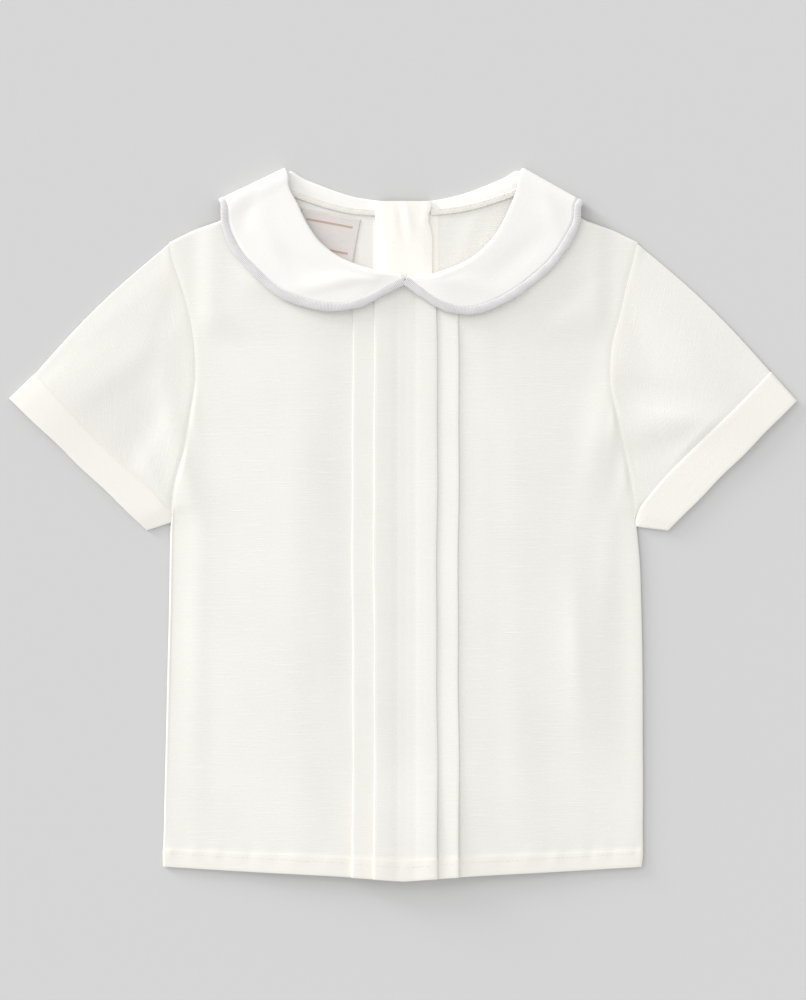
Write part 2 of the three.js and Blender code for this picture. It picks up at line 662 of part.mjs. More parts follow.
// A flat button with a raised rim
function buttonGeometry() {
  const { radius, thickness, rim, dish } = BUTTON;
  const profile = [
    [0, 0],
    [radius - rim, 0],
    [radius, rim],
    [radius, thickness - rim],
    [radius - rim, thickness],
    [radius - 2 * rim - rim, thickness],
    [radius - 2 * rim - 2 * rim, thickness - dish],
    [0, thickness - dish],
  ];
  const sides = 20;
  const geometry = new THREE.LatheGeometry(
    profile.map(([r, z]) => new THREE.Vector2(r, z)),
    sides,
  );
  return geometry.rotateX(Math.PI / 2);
}

// Finishes
const linen = () => new THREE.MeshStandardMaterial({ color: 0xf3f1eb, roughness: 0.9 });
const thread = () => new THREE.MeshStandardMaterial({ color: 0xcfccd0, roughness: 0.85 });
const satin = () => new THREE.MeshStandardMaterial({ color: 0xe5dfdb, roughness: 0.6 });
const shell = () => new THREE.MeshStandardMaterial({ color: 0xf0ede4, roughness: 0.3, metalness: 0 });

const blouse = new THREE.Group();

function add(name, geometry, material) {
  const mesh = new THREE.Mesh(geometry, material);
  mesh.name = name;
  blouse.add(mesh);
  return mesh;
}

function addWall(name, grid, material, thickness = WALL) {
  add(name, wallGeometry(grid, thickness), material);
}

function addTube(name, side, grid, thickness) {
  const rings = side === "left" ? [...grid].reverse() : grid;
  add(name, wallGeometry(rings, thickness, true), linen());
}

addWall("front", frontGrid(), linen());
addWall("back_inner", backGrid("left", innerLap()), linen());
addWall("back_outer", backGrid("right", outerLap()), linen());
for (const side of Object.keys(SIDES)) {
  const lowZ = (x, y) => layerZ(x, y, 0);
  addTube(`sleeve_${side}`, side, tubeGrid(sleeveLines(side), frontZ, lowZ, FOLD_REACH), WALL);
  const cuffTop = (x, y) => frontZ(x, y) + (3 * (CUFF_WALL - WALL)) / 2;
  const cuffLow = () => CUFF_WALL / 2;
  const cuffReach = CUFF_WALL + GAP / 2;
  addTube(`cuff_${side}`, side, tubeGrid(cuffLines(side), cuffTop, cuffLow, cuffReach), CUFF_WALL);
  const collar = collarGrid(side);
  addWall(`collar_${side}`, mirrored(collar, side), linen());
  addWall(`edging_${side}`, mirrored(edgingGrid(side, collar), side), thread());
  addWall(`neck_facing_${side}`, mirrored(facingGrid(side), side), linen());
}
addWall("label", labelGrid(), satin());
for (let i = 0; i < BUTTON.count; i++) {
  const button = add(`button_${i + 1}`, buttonGeometry(), shell());
  button.position.set(CENTRE_X, BUTTON.topY - i * BUTTON.pitch, 0);
}

export default blouse;
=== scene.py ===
"""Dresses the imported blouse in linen, with edging, stitches, label and buttons, on a floor in soft light.

Sizes are in millimetres of the garment until a mesh is made, which is in metres. X runs to the right of the
picture, Y from hem to neck, Z up from the surface that the blouse lies on.
"""

import logging
import math
from dataclasses import dataclass, field
from enum import Enum
from typing import Callable, NamedTuple

import bpy
import numpy as np
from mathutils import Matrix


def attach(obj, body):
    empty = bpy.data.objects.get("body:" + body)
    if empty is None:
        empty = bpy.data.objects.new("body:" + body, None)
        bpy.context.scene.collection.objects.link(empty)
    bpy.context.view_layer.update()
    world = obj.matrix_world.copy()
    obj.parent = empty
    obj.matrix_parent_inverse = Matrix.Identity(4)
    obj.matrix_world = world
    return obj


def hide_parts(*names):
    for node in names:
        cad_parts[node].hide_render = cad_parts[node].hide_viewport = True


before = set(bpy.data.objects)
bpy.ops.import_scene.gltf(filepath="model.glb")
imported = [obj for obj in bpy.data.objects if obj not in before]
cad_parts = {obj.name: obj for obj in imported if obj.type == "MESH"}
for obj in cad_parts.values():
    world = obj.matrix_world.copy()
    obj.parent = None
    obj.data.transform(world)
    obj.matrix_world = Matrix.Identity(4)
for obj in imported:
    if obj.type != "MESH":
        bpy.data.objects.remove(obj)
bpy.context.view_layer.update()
log = logging.getLogger("blouse")

Span = tuple[float, float]
Array = np.ndarray
Piece = bpy.types.Object
Material = bpy.types.Material
Socket = bpy.types.NodeSocket

MM = 0.001
CLOTH = 0.38
BASE = 0.62
WALL = 1.0
LEVEL = 1.36
FOLD_REACH = LEVEL / 2 + WALL / 2
CLOSE = 0.46
CLOSE_REACH = (CLOSE + CLOTH) / 2
NECK_Y = 173.9
CENTRE_X = 1.2
UNDERARM_Y = 7.0
SHOULDER_TIP_Y = 151.5
HEM_ROW = -185.0
FIRST_ROW = -150.0
HEM_DEPTH = 8.4
SEAM_SINK = 0.24
SEAM_WIDTH = 1.5
PROBE = 0.4


class Side(Enum):
    """The two sides of the garment, as the photograph shows them."""

    LEFT = -1
    RIGHT = 1

    @property
    def word(self) -> str:
        """The side's name in piece and node names."""
        return self.name.lower()


class FrontRow(NamedTuple):
    """A place along the front collar: roll line, outer edge, their heights, and the neck seam's distance."""

    roll_x: float
    roll_y: float
    edge_x: float
    edge_y: float
    roll_z: float
    edge_z: float
    seam: float


class BackRow(NamedTuple):
    """A place along the back collar: roll line and outer edge."""

    roll_x: float
    roll_y: float
    edge_x: float
    edge_y: float
    seam: float = 5.5


class Crease(NamedTuple):
    """A soft ridge, or a trough where height is negative, along a line at angle degrees from X."""

    x: float
    y: float
    angle: float
    length: float
    width: float
    height: float
    lean: float = 0.0


SIDE_LINE = {
    "y": (-192, -185, -160, -117, -74, -41, -20, 0, 20, 40, 58, 76, 95, 115, 133, 142, 151.5),
    Side.LEFT: (
        *(128.9, 129.3, 128.9, 127.9, 126.9, 126.1, 125.8, 125.3, 123.6),
        *(118.4, 115.4, 112.6, 112.9, 116.2, 121.9, 124.8, 126.4),
    ),
    Side.RIGHT: (
        *(126.9, 128.4, 129.2, 129.2, 129.0, 128.3, 127.5, 125.6, 123.1),
        *(119.4, 115.2, 112.0, 112.6, 117.6, 121.8, 124.2, 126.6),
    ),
}
HEM_LINE = {"x": (0, 31, 83, 130), "y": (-192.6, -190.4, -187.7, -185.0)}
SHOULDER_LINE = ((76, 178.0), (86, 170.5), (99, 163.0), (113, 158.2))

COLLAR_FRONT = {
    Side.LEFT: (
        FrontRow(-0.1, 133.5, -1.7, 132.0, 7.7, 7.7, 1.4),
        FrontRow(-6.0, 135.1, -12.5, 126.1, 8.0, 8.0, 3.6),
        FrontRow(-13.6, 136.4, -23.3, 120.7, 8.7, 7.8, 4.8),
        FrontRow(-23.3, 139.1, -36.8, 118.3, 8.5, 7.3, 5.5),
        FrontRow(-33.6, 143.4, -51.4, 120.2, 8.1, 7.1, 5.5),
        FrontRow(-43.8, 151.0, -66.0, 126.1, 7.7, 6.8, 5.5),
        FrontRow(-51.4, 161.2, -78.9, 137.5, 7.2, 6.4, 5.5),
        FrontRow(-57.3, 173.1, -88.7, 148.8, 6.7, 5.9, 5.5),
        FrontRow(-61.7, 181.8, -94.1, 161.8, 6.3, 5.8, 5.5),
    ),
    Side.RIGHT: (
        FrontRow(1.9, 133.3, 3.1, 131.8, 7.7, 7.7, 1.4),
        FrontRow(9.1, 133.6, 12.0, 125.0, 8.0, 7.9, 3.6),
        FrontRow(16.6, 134.8, 22.0, 119.1, 8.7, 7.9, 4.8),
        FrontRow(25.3, 137.8, 35.0, 116.4, 8.5, 7.5, 5.5),
        FrontRow(35.0, 142.3, 50.7, 121.0, 8.2, 7.4, 5.5),
        FrontRow(44.2, 149.6, 65.2, 129.9, 7.8, 7.1, 5.5),
        FrontRow(51.7, 159.1, 78.2, 141.0, 7.3, 6.7, 5.5),
        FrontRow(57.1, 169.9, 86.4, 152.2, 6.7, 6.0, 5.5),
        FrontRow(61.2, 180.6, 91.9, 163.6, 6.3, 5.8, 5.5),
    ),
}
COLLAR_BACK = {
    Side.LEFT: (
        BackRow(-59.8, 189.9, -92.0, 162.0),
        BackRow(-53.6, 186.1, -84.6, 149.4),
        BackRow(-45.5, 182.8, -69.2, 141.8),
        BackRow(-35.7, 179.1, -51.4, 139.1),
        BackRow(-25.5, 176.1, -34.1, 139.1),
        BackRow(-16.8, 174.7, -21.2, 141.3),
        BackRow(-11.4, 174.0, -12.4, 147.7),
    ),
    Side.RIGHT: (
        BackRow(60.4, 190.2, 90.5, 162.0),
        BackRow(54.4, 186.6, 83.0, 150.0),
        BackRow(46.3, 183.1, 69.4, 142.0),
        BackRow(36.9, 179.4, 52.6, 139.2),
        BackRow(27.2, 176.5, 35.8, 139.2),
        BackRow(19.0, 174.8, 23.4, 141.4),
        BackRow(13.8, 174.0, 14.8, 147.8),
    ),
}
COLLAR_FOLD = {
    Side.LEFT: ((-63.8, 192.2), (-96.8, 176.4)),
    Side.RIGHT: ((64.4, 192.4), (94.6, 175.4)),
}
FOLD_SEAM = 5.5
NECK_SEAM_GAP = 0.5
EDGING_TIP = {Side.LEFT: (0.7, 131.0), Side.RIGHT: (1.2, 130.9)}

CUFF_SEAM = {
    Side.LEFT: ((-199.0, 81.0), (-178.3, 58.1), (-153.2, 32.4), (-136.2, 17.8), (-126.6, 7.2)),
    Side.RIGHT: ((199.0, 81.9), (178.5, 61.0), (153.8, 37.2), (136.8, 19.4), (127.0, 6.8)),
}
CUFF_CORNER = {Side.LEFT: (-124.6, 0.4), Side.RIGHT: (125.1, -1.8)}
CUFF_EDGE = {
    Side.LEFT: ((-212.8, 67.8), (-137.8, -4.0)),
    Side.RIGHT: ((212.7, 66.7), (142.5, -4.0)),
}

SWELLS = (
    Crease(-78, -45, 90, 115, 42, 1.1),
    Crease(74, 5, 90, 115, 40, 1.0),
    Crease(96, -75, 92, 60, 14, 1.1),
    Crease(-118, 34, 104, 30, 7, 0.8),
    Crease(107, 50, 80, 34, 9, 1.2),
    Crease(-172, 78, 45, 45, 20, 1.4),
    Crease(160, 76, -45, 45, 20, 1.4),
    Crease(140, 52, 8, 26, 9, 1.0),
)


def ramp(value: Array, start: float, end: float) -> Array:
    """The share of the way from start to end, held at 0 and 1 beyond them."""
    return np.clip((np.asarray(value, float) - start) / (end - start), 0, 1)


def eased(value: Array, start: float, end: float) -> Array:
    """A ramp that starts and ends level."""
    share = ramp(value, start, end)
    return share * share * (3 - 2 * share)


def through(knots: Array, values: Array, at: Array) -> Array:
    """A smooth line through rows of a table.

    Args:
        knots: the rising keys of the rows.
        values: one value or point for each row.
        at: the keys to read it at, held within the first and last.

    Returns:
        A value or point for each key of at.
    """
    knots = np.asarray(knots, float)
    values = np.asarray(values, float)
    at = np.clip(np.asarray(at, float), knots[0], knots[-1])
    slopes = np.gradient(values, knots, axis=0)
    i = np.clip(np.searchsorted(knots, at, side="right") - 1, 0, len(knots) - 2)
    step = knots[i + 1] - knots[i]
    t = (at - knots[i]) / step
    if values.ndim > 1:
        shape = t.shape + (1,) * (values.ndim - 1)
        t, step = t.reshape(shape), step.reshape(shape)
    start, end = values[i], values[i + 1]
    return (
        start * (1 + 2 * t) * (1 - t) ** 2
        + end * t * t * (3 - 2 * t)
        + slopes[i] * step * t * (1 - t) ** 2
        - slopes[i + 1] * step * t * t * (1 - t)
    )


def chords(points: Array) -> Array:
    """Distance along a line of points, from 0 at the first."""
    steps = np.linalg.norm(np.diff(points, axis=0), axis=-1)
    return np.concatenate([[0.0], np.cumsum(steps)])


def spaced(points: Array, count: int) -> Array:
    """The same smooth line, as count points that are evenly spaced.

    Args:
        points: the line's points.
        count: how many points.

    Returns:
        The new points.
    """
    points = np.asarray(points, float)
    knots = chords(points)
    fine = through(knots, points, np.linspace(0, knots[-1], 8 * count))
    length = chords(fine)
    at = np.linspace(0, length[-1], count)
    return np.stack([np.interp(at, length, fine[:, k]) for k in range(points.shape[1])], axis=1)


def bent_line(points: list[Array], share: Array, corner: float) -> Array:
    """Places along a straight line with one corner, which lies at the share named corner."""
    return np.stack([np.interp(share, (0, corner, 1), [p[k] for p in points]) for k in range(2)], axis=1)


def unit(vectors: Array) -> Array:
    """Vectors of length 1 in the same directions."""
    return vectors / np.maximum(np.linalg.norm(vectors, axis=-1, keepdims=True), 1e-9)


def creases(table: tuple[Crease, ...], x: Array, y: Array) -> Array:
    """Height that the ridges and troughs of a table add at a place.

    Args:
        table: the creases.
        x: places across the garment.
        y: places up the garment.

    Returns:
        The height at each place. A crease that leans is steeper on one flank than on the other.
    """
    total = np.zeros(np.broadcast(x, y).shape)
    for crease in table:
        turn = math.radians(crease.angle)
        along = (x - crease.x) * math.cos(turn) + (y - crease.y) * math.sin(turn)
        over = (y - crease.y) * math.cos(turn) - (x - crease.x) * math.sin(turn)
        width = crease.width * (1 + crease.lean * np.tanh(over / crease.width))
        total += crease.height * np.exp(-((along / crease.length) ** 2) - (over / width) ** 2)
    return total


@dataclass
class Pattern:
    """The shape that all pieces share: outlines, and the height of each layer of cloth."""

    button_lift: float = 2.1
    lap_flat: float = 8.0
    lap_foot: float = 17.0
    tucks: tuple[Span, ...] = ((5.1, 17.0), (17.6, 28.6))
    collar_start_y: float = 95.0
    collar_full_y: float = 115.0
    collar_full_x: float = 102.0
    collar_end_x: float = 114.0
    side_fade: float = 16.0
    close_inside: Span = (30.0, 62.0)
    close_at_side: float = 0.6
    close_side_x: Span = (106.0, 124.0)
    close_side_y: Span = (UNDERARM_Y + 2, UNDERARM_Y - 12)
    hem_step: float = 0.84
    hem_step_y: Span = (HEM_ROW + 62, HEM_ROW + 10)
    bridge: float = 0.6
    belly: Span = (29.0, 112.0)
    valley: float = 0.8
    valley_reach: float = 16.0
    rise: float = 1.0
    rise_fall: Span = (54.0, 28.0)
    neck_from_y: Span = (115.0, 135.0)
    neck_inside: Span = (28.6, 36.0)
    neck_outside: Span = (95.0, 75.0)
    tops: dict[tuple[str, Side], Array] = field(default_factory=dict)

    def __post_init__(self) -> None:
        """Works out the upper outlines of front and back."""
        for side in Side:
            self.tops["front", side] = self.top_line(side, COLLAR_FRONT[side])
            self.tops["back", side] = self.top_line(side, tuple(reversed(COLLAR_BACK[side])))

    @property
    def panel_start(self) -> float:
        """Where the flat panel starts, from the centre line."""
        return self.tucks[1][0] + CLOSE_REACH

    def lift(self, x: Array, y: Array, spread: Span | None = None) -> Array:
        """How far the buttons, laps and the back leaf of the collar lift the garment.

        Args:
            x: places across the garment.
            y: places up the garment.
            spread: from where to where the lift over the buttons falls off, from the centre line.

        Returns:
            The lift at each place.
        """
        over_buttons = 1 - eased(np.abs(x - CENTRE_X), *(spread or (self.lap_flat, self.lap_foot)))
        over_collar = eased(y, self.collar_start_y, self.collar_full_y)
        over_collar = over_collar * eased(np.abs(x), self.collar_end_x, self.collar_full_x)
        plain = over_buttons * self.button_lift
        raised = LEVEL + (self.button_lift - LEVEL) * over_buttons
        return plain + (raised - plain) * over_collar

    def layer(self, x: Array, y: Array, level: Array, spread: Span | None = None) -> Array:
        """Middle of a layer of cloth, counted in levels from the surface."""
        return self.lift(x, y, spread) + BASE + np.asarray(level) * self.step(x, y)

    def step(self, x: Array, y: Array) -> Array:
        """Height from one layer to the next: less at tucks, laps and the left side, save at the hem.

        Args:
            x: places across the garment.
            y: places up the garment.

        Returns:
            The height at each place.
        """
        near = 1 - eased(np.abs(x - CENTRE_X), *self.close_inside)
        at_side = self.close_at_side * eased(-x, *self.close_side_x) * eased(y, *self.close_side_y)
        close = CLOSE + (self.hem_step - CLOSE) * eased(y, *self.hem_step_y)
        return LEVEL + (close - LEVEL) * np.maximum(near, at_side)

    def bulge(self, x: Array) -> Array:
        """How far the tucks stand off the laps, with a soft rise to the fold of the outer right one.

        Args:
            x: places across the garment.

        Returns:
            The height at each place.
        """
        c = x - CENTRE_X
        rise = self.rise * ramp(c, self.tucks[0][1], self.tucks[1][1]) * eased(c, *self.rise_fall)
        return self.bridge * (1 - eased(np.abs(c), *self.belly)) + rise

    def tucked(self, x: Array, y: Array, level: Array, at: Array) -> Array:
        """Middle of the front's cloth in the tucks, each layer's height read at the place at."""
        sag = self.valley * (1 - eased(np.abs(x - CENTRE_X), 0, self.valley_reach))
        return self.layer(at, y, level, self.belly) + self.bulge(x) - sag

    def neck_level(self, x: Array, y: Array) -> Array:
        """Extra level of the front over the label and the neck facing.

        Args:
            x: places across the garment.
            y: places up the garment.

        Returns:
            The level at each place.
        """
        across = np.abs(x)
        over_finish = eased(y, *self.neck_from_y) * eased(across, *self.neck_inside)
        return over_finish * eased(across, *self.neck_outside)

    def reach(self, side: Side, y: Array) -> Array:
        """How far a side of the body reaches from X = 0, up the side seam and the armhole."""
        return through(SIDE_LINE["y"], SIDE_LINE[side], y)

    def swell(self, x: Array, y: Array) -> Array:
        """Soft swells of the upper layer, none in the tucks or at the side seams.

        Args:
            x: places across the garment.
            y: places up the garment.

        Returns:
            The height at each place.
        """
        across = np.abs(x - CENTRE_X)
        reach = np.where(x < 0, self.reach(Side.LEFT, y), self.reach(Side.RIGHT, y))
        inside = (y < UNDERARM_Y) & (across < reach)
        at_side = np.where(inside, eased(reach - across, 0, self.side_fade), 1)
        fade = eased(across, self.tucks[1][1], self.tucks[1][1] + self.side_fade)
        return creases(SWELLS, x, y) * fade * at_side

    def front_z(self, x: Array, y: Array) -> Array:
        """Middle of the front's cloth outside the tucks."""
        level = 1 + self.neck_level(x, y)
        return self.layer(x, y, level, self.belly) + self.swell(x, y) + self.bulge(x)

    def hem_y(self, x: Array) -> Array:
        """Height of the hem's edge."""
        return through(HEM_LINE["x"], HEM_LINE["y"], np.abs(x))

    def fold_axis(self, side: Side) -> dict[str, Array | float]:
        """The axis round which the collar turns over the shoulder, with its length, radius and height.

        Args:
            side: the side.

        Returns:
            Its start in plan, its direction, the way out from it, and those three numbers.
        """
        peak, edge = (np.array(p) for p in COLLAR_FOLD[side])
        length = float(np.linalg.norm(edge - peak))
        along = (edge - peak) / length
        outward = np.array([along[1], -along[0]])
        outward = outward if outward[1] > 0 else -outward
        radius = 2 * LEVEL
        start = peak - outward * (radius + WALL / 2)
        return {
            "start": start,
            "along": along,
            "outward": outward,
            "length": length,
            "radius": radius,
            "z": WALL / 2 + radius,
        }

    def top_line(self, side: Side, rows: tuple[FrontRow | BackRow, ...]) -> Array:
        """Upper outline of a panel: distance from X = 0 and height, from the centre to the shoulder tip.

        Args:
            side: the side.
            rows: the collar's rows, from the centre out.

        Returns:
            The outline's points.
        """
        points = []
        for row in rows:
            roll = np.array([row.roll_x, row.roll_y])
            leaf = unit(np.array([row.edge_x, row.edge_y]) - roll)
            points.append(roll + leaf * (row.seam + NECK_SEAM_GAP))
        axis = self.fold_axis(side)
        points.append(axis["start"] + axis["along"] * (FOLD_SEAM + NECK_SEAM_GAP))
        line = [(side.value * x, y) for x, y in points]
        tip = (float(self.reach(side, SHOULDER_TIP_Y)), SHOULDER_TIP_Y)
        return np.array([*line, *SHOULDER_LINE, tip])

    def top_y(self, panel: str, side: Side, across: Array) -> Array:
        """Height of a panel's upper outline at a distance from X = 0.

        Args:
            panel: front or back.
            side: the side.
            across: distances from X = 0.

        Returns:
            The heights.
        """
        line = self.tops[panel, side]
        keys = np.maximum.accumulate(line[:, 0] + np.arange(len(line)) * 1e-4)
        return np.interp(across, keys, line[:, 1])

    def row_y(self, row: Array, x: Array, top_y: Array) -> Array:
        """Height at x of the row of points that is at row at the side seam.

        Args:
            row: the row at the side seam.
            x: places across the garment.
            top_y: the upper outline at x.

        Returns:
            The heights.
        """
        from_hem = ramp(row, HEM_ROW, FIRST_ROW)
        low = self.hem_y(x) * (1 - from_hem) + FIRST_ROW * from_hem
        full = self.collar_full_y
        high = full + (top_y - full) * ramp(row, full, SHOULDER_TIP_Y)
        return np.where(row < FIRST_ROW, low, np.where(row <= full, row, high))


@dataclass
class Sheet:
    """A sheet of cloth as a grid of points in millimetres, with the same grid laid flat for its weave."""

    name: str
    points: Array
    flat: Array
    thickness: float = CLOTH
    ring: bool = False
    masks: dict[str, Array] = field(default_factory=dict)

    def build(self) -> Piece:
        """Lays a grid on the points and gives it the cloth's thickness.

        Returns:
            The finished object.
        """
        rows, columns = self.points.shape[:2]
        bpy.ops.object.select_all(action="DESELECT")
        bpy.ops.mesh.primitive_grid_add(x_subdivisions=columns - 1, y_subdivisions=rows - 1, size=1)
        piece = bpy.context.object
        piece.name = self.name
        piece.data.name = self.name
        mesh = piece.data
        laid = np.empty(3 * len(mesh.vertices))
        mesh.vertices.foreach_get("co", laid)
        laid = laid.reshape(-1, 3)
        column = np.rint((laid[:, 0] + 0.5) * (columns - 1)).astype(int)
        row = np.rint((laid[:, 1] + 0.5) * (rows - 1)).astype(int)
        mesh.vertices.foreach_set("co", (self.points[row, column] * MM).ravel())
        corner = np.empty(len(mesh.loops), int)
        mesh.loops.foreach_get("vertex_index", corner)
        mesh.uv_layers[0].name = "cloth"
        mesh.uv_layers[0].data.foreach_set("uv", (self.flat[row, column][corner] * MM).ravel())
        for name, mask in self.masks.items():
            layer = mesh.attributes.new(name, "FLOAT", "POINT")
            layer.data.foreach_set("value", mask[row, column].astype(float))
        mesh.update()
        if self.ring:
            edit(piece, lambda: bpy.ops.mesh.remove_doubles(threshold=1e-7))
        if not self.thickness:
            edit(piece, lambda: bpy.ops.mesh.fill_holes(sides=0))
        if self.ring:
            edit(piece, lambda: bpy.ops.mesh.normals_make_consistent(inside=False))
        if self.thickness:
            finish(piece, "SOLIDIFY", thickness=self.thickness * MM, offset=0, use_even_offset=False)
        mesh = piece.data
        mesh.polygons.foreach_set("use_smooth", np.ones(len(mesh.polygons), bool))
        return piece


def edit(piece: Piece, action: Callable[[], object]) -> None:
    """Runs an edit-mode action on all of a piece.

    Args:
        piece: the object.
        action: what runs while the object is in edit mode.
    """
    bpy.ops.object.select_all(action="DESELECT")
    piece.select_set(True)
    bpy.context.view_layer.objects.active = piece
    bpy.ops.object.mode_set(mode="EDIT")
    bpy.ops.mesh.select_all(action="SELECT")
    action()
    bpy.ops.object.mode_set(mode="OBJECT")


def finish(piece: Piece, kind: str, **settings: object) -> None:
    """Adds a modifier with its settings and applies it.

    Args:
        piece: the object.
        kind: the modifier's type.
        settings: its settings.
    """
    bpy.ops.object.select_all(action="DESELECT")
    piece.select_set(True)
    bpy.context.view_layer.objects.active = piece
    modifier = piece.modifiers.new(kind.lower(), kind)
    for key, value in settings.items():
        setattr(modifier, key, value)
    bpy.ops.object.modifier_apply(modifier=modifier.name)


def dress(piece: Piece, material: Material, slot: str, *nodes: str) -> None:
    """Gives a piece its material, hangs it under the root and hides the CAD nodes that it replaces.

    Args:
        piece: the finished object.
        material: its material.
        slot: not used.
        nodes: the CAD nodes that it replaces.
    """
    piece.data.materials.clear()
    piece.data.materials.append(material)
    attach(piece, "root")
    if nodes:
        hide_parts(*nodes)
    surface = sum(face.area for face in piece.data.polygons)
    log.info("%s: %d faces, %.5f square metres of cloth", piece.name, len(piece.data.polygons), surface / 2)


class Value:
    """A number that varies over a surface. Sums and products of it add Math nodes."""

    def __init__(self, shader: "Shader", socket: Socket) -> None:
        """Keeps the socket that gives the number."""
        self.shader = shader
        self.socket = socket

    def math(self, operation: str, first: object, second: object = 0.0, clamp: bool = False) -> "Value":
        """The result of one Math node.

        Args:
            operation: the node's operation.
            first: its first input.
            second: its second input.
            clamp: whether the result is held between 0 and 1.

        Returns:
            The number.
        """
        settings = {"operation": operation, "use_clamp": clamp}
        node = self.shader.node("ShaderNodeMath", settings, {0: first, 1: second})
        return Value(self.shader, node.outputs[0])

    def __add__(self, other: object) -> "Value":
        """This plus other."""
        return self.math("ADD", self, other)

    def __sub__(self, other: object) -> "Value":
        """This minus other."""
        return self.math("SUBTRACT", self, other)

    def __rsub__(self, other: object) -> "Value":
        """Other minus this."""
        return self.math("SUBTRACT", other, self)

    def __mul__(self, other: object) -> "Value":
        """This times other."""
        return self.math("MULTIPLY", self, other)

    __radd__ = __add__
    __rmul__ = __mul__

    def sine(self) -> "Value":
        """The sine of this, in radians."""
        return self.math("SINE", self)

    def magnitude(self) -> "Value":
        """This without its sign."""
        return self.math("ABSOLUTE", self)

    def above(self, start: float, end: float) -> "Value":
        """0 up to start and 1 from end."""
        return self.math("MULTIPLY", self - start, 1 / (end - start), clamp=True)


class Shader:
    """Builds one material's nodes."""

    def __init__(self, name: str) -> None:
        """Makes a material with a Principled shader and nothing else.

        Args:
            name: the material's name.
        """
        self.material = bpy.data.materials.new(name)
        self.material.use_nodes = True
        self.tree = self.material.node_tree
        self.tree.nodes.clear()
        self.principled = self.node("ShaderNodeBsdfPrincipled")
        self.node("ShaderNodeOutputMaterial", inputs={"Surface": self.principled.outputs[0]})

    def node(self, kind: str, settings: dict | None = None, inputs: dict | None = None) -> bpy.types.Node:
        """Adds a node.

        Args:
            kind: its type.
            settings: its properties.
            inputs: values or links of its sockets, by name or number.

        Returns:
            The node.
        """
        made = self.tree.nodes.new(kind)
        for key, value in (settings or {}).items():
            setattr(made, key, value)
        for key, value in (inputs or {}).items():
            self.feed(made.inputs[key], value)
        return made

    def feed(self, socket: Socket, value: object) -> None:
        """Links a socket to a value or another socket, or sets it.

        Args:
            socket: the input.
            value: a number, colour, Value or socket.
        """
        if isinstance(value, Value):
            self.tree.links.new(value.socket, socket)
        elif isinstance(value, Socket):
            self.tree.links.new(value, socket)
        else:
            socket.default_value = value

    def place(self, scale: Span, turn: float = 0.0, shift: float = 0.0) -> Socket:
        """The cloth's own flat place, in metres, scaled, turned by degrees and shifted.

        Args:
            scale: the scale of each axis.
            turn: the turn.
            shift: the shift of each axis.

        Returns:
            The socket that gives the place.
        """
        uv = self.node("ShaderNodeUVMap", {"uv_map": "cloth"})
        inputs = {
            "Vector": uv.outputs[0],
            "Location": (shift, shift, 0),
            "Rotation": (0, 0, math.radians(turn)),
            "Scale": (*scale, 1),
        }
        return self.node("ShaderNodeMapping", {"vector_type": "POINT"}, inputs).outputs[0]

    def axes(self, turn: float = 0.0) -> tuple[Value, Value]:
        """The cloth's own flat place as two numbers, in metres."""
        split = self.node("ShaderNodeSeparateXYZ", inputs={0: self.place((1, 1), turn)})
        return Value(self, split.outputs[0]), Value(self, split.outputs[1])

    def noise(self, place: Socket, scale: float = 1.0, detail: float = 2.0) -> Value:
        """Smooth noise between 0 and 1.

        Args:
            place: the scaled place on the cloth or in the object.
            scale: its scale.
            detail: its detail.

        Returns:
            The noise.
        """
        inputs = {"Vector": place, "Scale": scale, "Detail": detail}
        made = self.node("ShaderNodeTexNoise", {"noise_dimensions": "2D"}, inputs)
        return Value(self, made.outputs[0])

    def attribute(self, name: str) -> Value:
        """A mask stored on the mesh."""
        made = self.node("ShaderNodeAttribute", {"attribute_name": name})
        return Value(self, made.outputs["Fac"])

    def mixed(self, share: Value, first: object, second: object) -> Socket:
        """A colour between two, by share.

        Args:
            share: 0 for the first colour, 1 for the second.
            first: a colour or a socket.
            second: a colour or a socket.

        Returns:
            The socket that gives the colour.
        """
        made = self.node("ShaderNodeMix", {"data_type": "RGBA", "clamp_factor": True})
        self.feed(made.inputs["Factor"], share)
        self.feed(made.inputs[6], first)
        self.feed(made.inputs[7], second)
        return made.outputs[2]

    def bump(self, height: Value, distance: float) -> None:
        """Raises the surface by height times a distance in metres."""
        inputs = {"Height": height, "Distance": distance, "Strength": 1.0}
        self.feed(self.principled.inputs["Normal"], self.node("ShaderNodeBump", None, inputs).outputs[0])

    def surface(self, **values: object) -> None:
        """Sets or links sockets of the Principled shader; an underscore stands for a space."""
        for key, value in values.items():
            self.feed(self.principled.inputs[key.replace("_", " ")], value)


